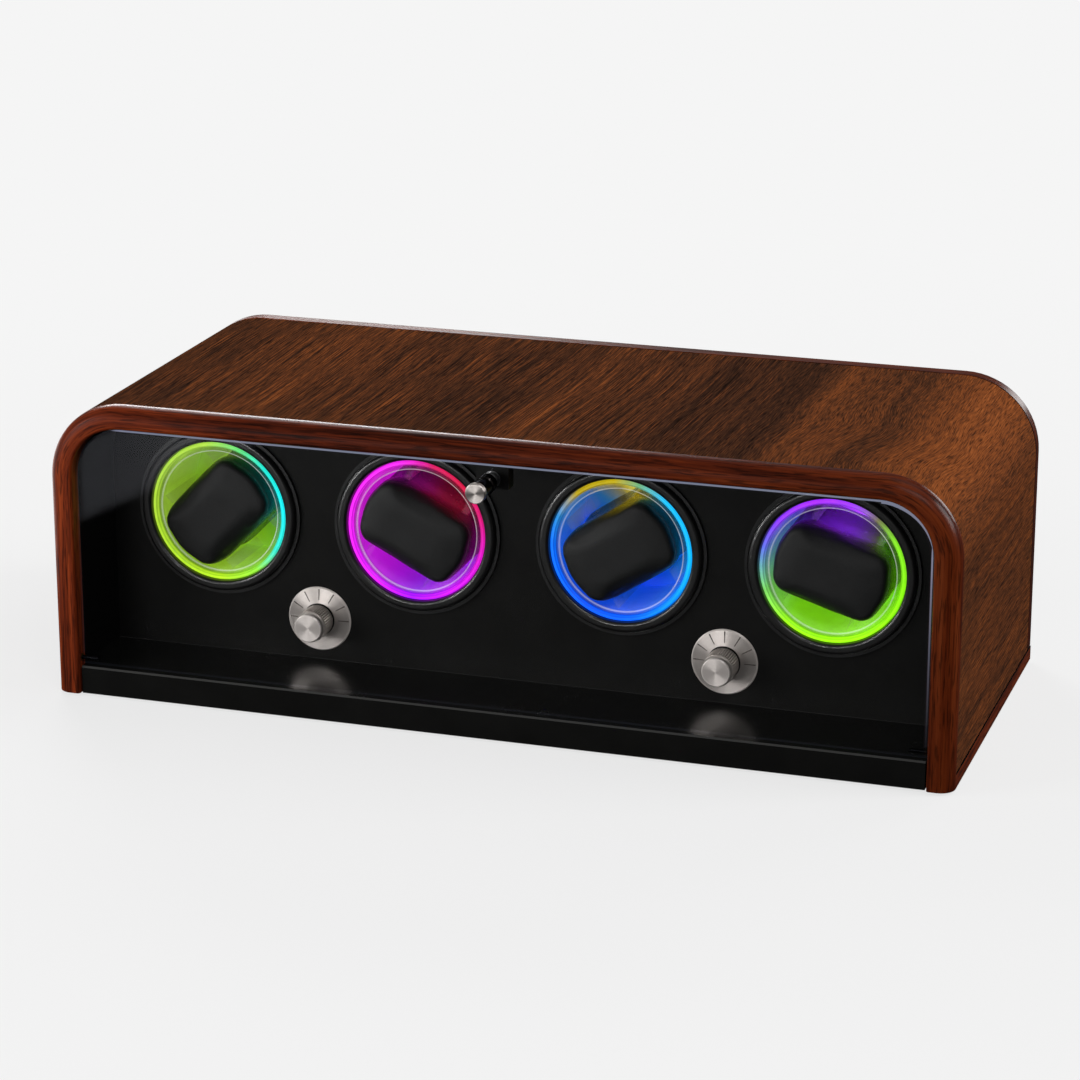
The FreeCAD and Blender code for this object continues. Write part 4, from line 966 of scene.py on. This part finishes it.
def pane_finish():
    """A faint mirror over clear plastic; the cut edges have a painted glow for the light they carry."""
    looks = {"Metallic": 1.0, "Base Color": paint("#dde0ea"), "Emission Color": paint("#aeb6d2")}
    finish, tree, surface = new_finish("pane_acrylic", looks)
    haze = mottle(tree, spot(tree, *places(tree)), 50.0, detail=3.0)
    facing = frontness(tree)
    x, _, z = places(tree)
    wide = step(tree, "ABSOLUTE", x)
    edge = step(tree, "LESS_THAN", step(tree, "ABSOLUTE", facing), FLAT_FACE)
    over = step(tree, "SUBTRACT", z, pane_high.z - LIT_BAND)
    beside = step(tree, "SUBTRACT", x, pane_high.x - LIT_BAND)
    _, _, radius = unrolled(tree)
    past_flat = step(tree, "SUBTRACT", x, cad_high.x - SHOULDER)
    past_spring = step(tree, "SUBTRACT", z, cad_high.z - SHOULDER)
    in_corner = step(tree, "GREATER_THAN", step(tree, "MINIMUM", past_flat, past_spring), 0.0)
    round_it = step(tree, "MULTIPLY", in_corner, step(tree, "SUBTRACT", radius, PANE_CORNER - LIT_BAND))
    outermost = step(tree, "MAXIMUM", round_it, step(tree, "MAXIMUM", over, beside))
    in_band = step(tree, "GREATER_THAN", outermost, 0.0)
    front_bevel = step(tree, "MULTIPLY", edge, step(tree, "LESS_THAN", facing, BEVEL_FACE))
    # Painted glow: the lit band on the top and right edges and the corner fades out towards the bottom of the
    # pane.
    bright = clamped(tree, step(tree, "MULTIPLY_ADD", z, 1 / LIT_FADE, -pane_low.z / LIT_FADE))
    lit = step(tree, "MULTIPLY", step(tree, "MULTIPLY", in_band, front_bevel), bright)
    by_pin = step(tree, "LESS_THAN", step(tree, "ABSOLUTE", step(tree, "SUBTRACT", z, pin_z)), PIN_REACH)
    bore = step(tree, "MULTIPLY", by_pin, step(tree, "GREATER_THAN", wide, pane_high.x - PIN_DEPTH))
    bare = step(tree, "MULTIPLY", edge, step(tree, "SUBTRACT", 1.0, bore))
    feed(tree, surface.inputs["Roughness"], between(tree, haze, 0.02, 0.05))
    glow = step(tree, "MULTIPLY_ADD", lit, LIT_GLOW, step(tree, "MULTIPLY", bare, BARE_GLOW))
    feed(tree, surface.inputs["Emission Strength"], glow)
    cut_edge = step(tree, "MULTIPLY_ADD", lit, LIT_SOLID, step(tree, "MULTIPLY", bare, BARE_SOLID))
    solid = step(tree, "ADD", cut_edge, MIRROR_SHARE)
    overlaid(tree, solid, tree.nodes.new("ShaderNodeBsdfTransparent"), surface)
    return finish


dress(pane_finish(), "door_pane")
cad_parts["door_pane"].visible_shadow = False

# Door pull: a stepped barrel turned from bar and plated in black chrome, with a spun steel cap.
# A screw through the pane holds it.
pull_x, _, pull_z = middle_of("pull_cap")
dress(metal_finish("black_chrome", "#3a3635", "#4e4947", 0.14, 0.22, 200.0), "pull_knob")
dress(spun_finish("spun_pull_cap", "#c0b8b2", "#ddd6d1", pull_x, pull_z), "pull_cap")

# Studio: a pale floor, soft boxes in front, overhead, at both sides and behind, a narrow one at the left
# rear that draws the gleam along the edging, and a camera at the photograph's place.
FLOOR_HALF = 14.0
FLOOR_NEAR = 0.30
FLOOR_FAR = 1.0
CAMERA_PLACE = (0.5099, -1.58486, 0.60521)
CAMERA_TURN = (72.326, 0.0, 17.919)
CAMERA_LENS = 118.05
LAMPS = (
    ("key", (1.0, -1.8, 1.9), (1.4, 1.0), 18.0),
    ("overhead", (0.55, 0.25, 1.80), (1.1, 1.1), 2.5),
    ("left", (-1.15, -0.85, 0.40), (0.7, 0.6), 11.0),
    ("right", (2.2, 0.3, 1.2), (1.2, 1.2), 36.0),
    ("front", (-0.62, -2.1, 0.28), (0.6, 0.4), 8.0),
    ("gleam", (-0.95, 1.50, 0.94), (0.9, 0.36), 13.0),
    ("veil", (-0.85, 1.00, 1.45), (0.5, 0.7), 3.0),
    ("back", (1.1, 2.0, 0.7), (1.0, 0.8), 10.0),
)
CLOTH_LINE = (0.335, 0.197, 0.384)
CLOTH_SOFT = 0.02
SHADOW_SHARE = 0.78
LAMP_AIM = Vector((0.0, 0.0, 0.08))
AIR_STRENGTH = 0.07


def floor_finish():
    """Pale paper: the camera and the box's gloss see one even tone with the box's soft shadow on it.
    A dark cloth in front and to the right, out of the picture, shows in the gloss alone."""
    finish, tree, surface = new_finish("pale_paper", {"Roughness": 0.9, "Specular IOR Level": 0.0})
    x, y, _ = places(tree)
    rays = tree.nodes.new("ShaderNodeLightPath").outputs
    beside = step(tree, "MULTIPLY_ADD", step(tree, "ADD", y, CLOTH_LINE[2]), CLOTH_LINE[1], x)
    cloth = step(tree, "MULTIPLY_ADD", step(tree, "ADD", beside, CLOTH_LINE[0]), 1 / CLOTH_SOFT, 0.5)
    cover = clamped(tree, cloth)
    mirrored = step(tree, "MAXIMUM", rays["Is Glossy Ray"], rays["Is Transmission Ray"])
    mirrored = step(tree, "MULTIPLY", mirrored, step(tree, "SUBTRACT", 1.0, cover))
    seen = step(tree, "MAXIMUM", rays["Is Camera Ray"], mirrored)
    bounce = mixed(tree, cover, paint("#bcbcbc"), paint("#262626"))
    tree.links.new(mixed(tree, seen, bounce, paint("#f0f0f0")), surface.inputs["Base Color"])
    past = step(tree, "SUBTRACT", off_axis(tree, x, y), FLOOR_NEAR)
    away = clamped(tree, step(tree, "DIVIDE", past, FLOOR_FAR - FLOOR_NEAR))
    even = tree.nodes.new("ShaderNodeEmission")
    even.inputs["Color"].default_value = paint("#f5f5f5")
    overlaid(tree, step(tree, "MULTIPLY", seen, between(tree, away, SHADOW_SHARE, 1.0)), surface, even)
    return finish


floor_mesh = bpy.data.meshes.new("floor")
corner_signs = ((-1, -1), (1, -1), (1, 1), (-1, 1))
floor_corners = [(FLOOR_HALF * across, FLOOR_HALF * back, 0) for across, back in corner_signs]
floor_mesh.from_pydata(floor_corners, [], [(0, 1, 2, 3)])
floor_mesh.materials.append(floor_finish())
floor = bpy.data.objects.new("floor", floor_mesh)
bpy.context.scene.collection.objects.link(floor)
floor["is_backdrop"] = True

for name, place, size, power in LAMPS:
    lamp = bpy.data.lights.new(name, "AREA")
    lamp.shape = "RECTANGLE"
    lamp.size, lamp.size_y = size
    lamp.energy = power
    light = bpy.data.objects.new(name, lamp)
    light.location = place
    light.rotation_euler = (LAMP_AIM - Vector(place)).to_track_quat("-Z", "Y").to_euler()
    light.visible_camera = False
    bpy.context.scene.collection.objects.link(light)

world = bpy.data.worlds.new("studio")
world.use_nodes = True
air = world.node_tree.nodes["Background"]
air.inputs["Color"].default_value = paint("#f5f5f5")
air.inputs["Strength"].default_value = AIR_STRENGTH
bpy.context.scene.world = world

camera = bpy.data.objects.new("camera", bpy.data.cameras.new("camera"))
camera.location = CAMERA_PLACE
camera.rotation_euler = [math.radians(turn) for turn in CAMERA_TURN]
camera.data.lens = CAMERA_LENS
camera.data.sensor_width = 36.0
bpy.context.scene.collection.objects.link(camera)
bpy.context.scene.camera = camera
bpy.context.scene.view_settings.view_transform = "Standard"

low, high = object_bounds()
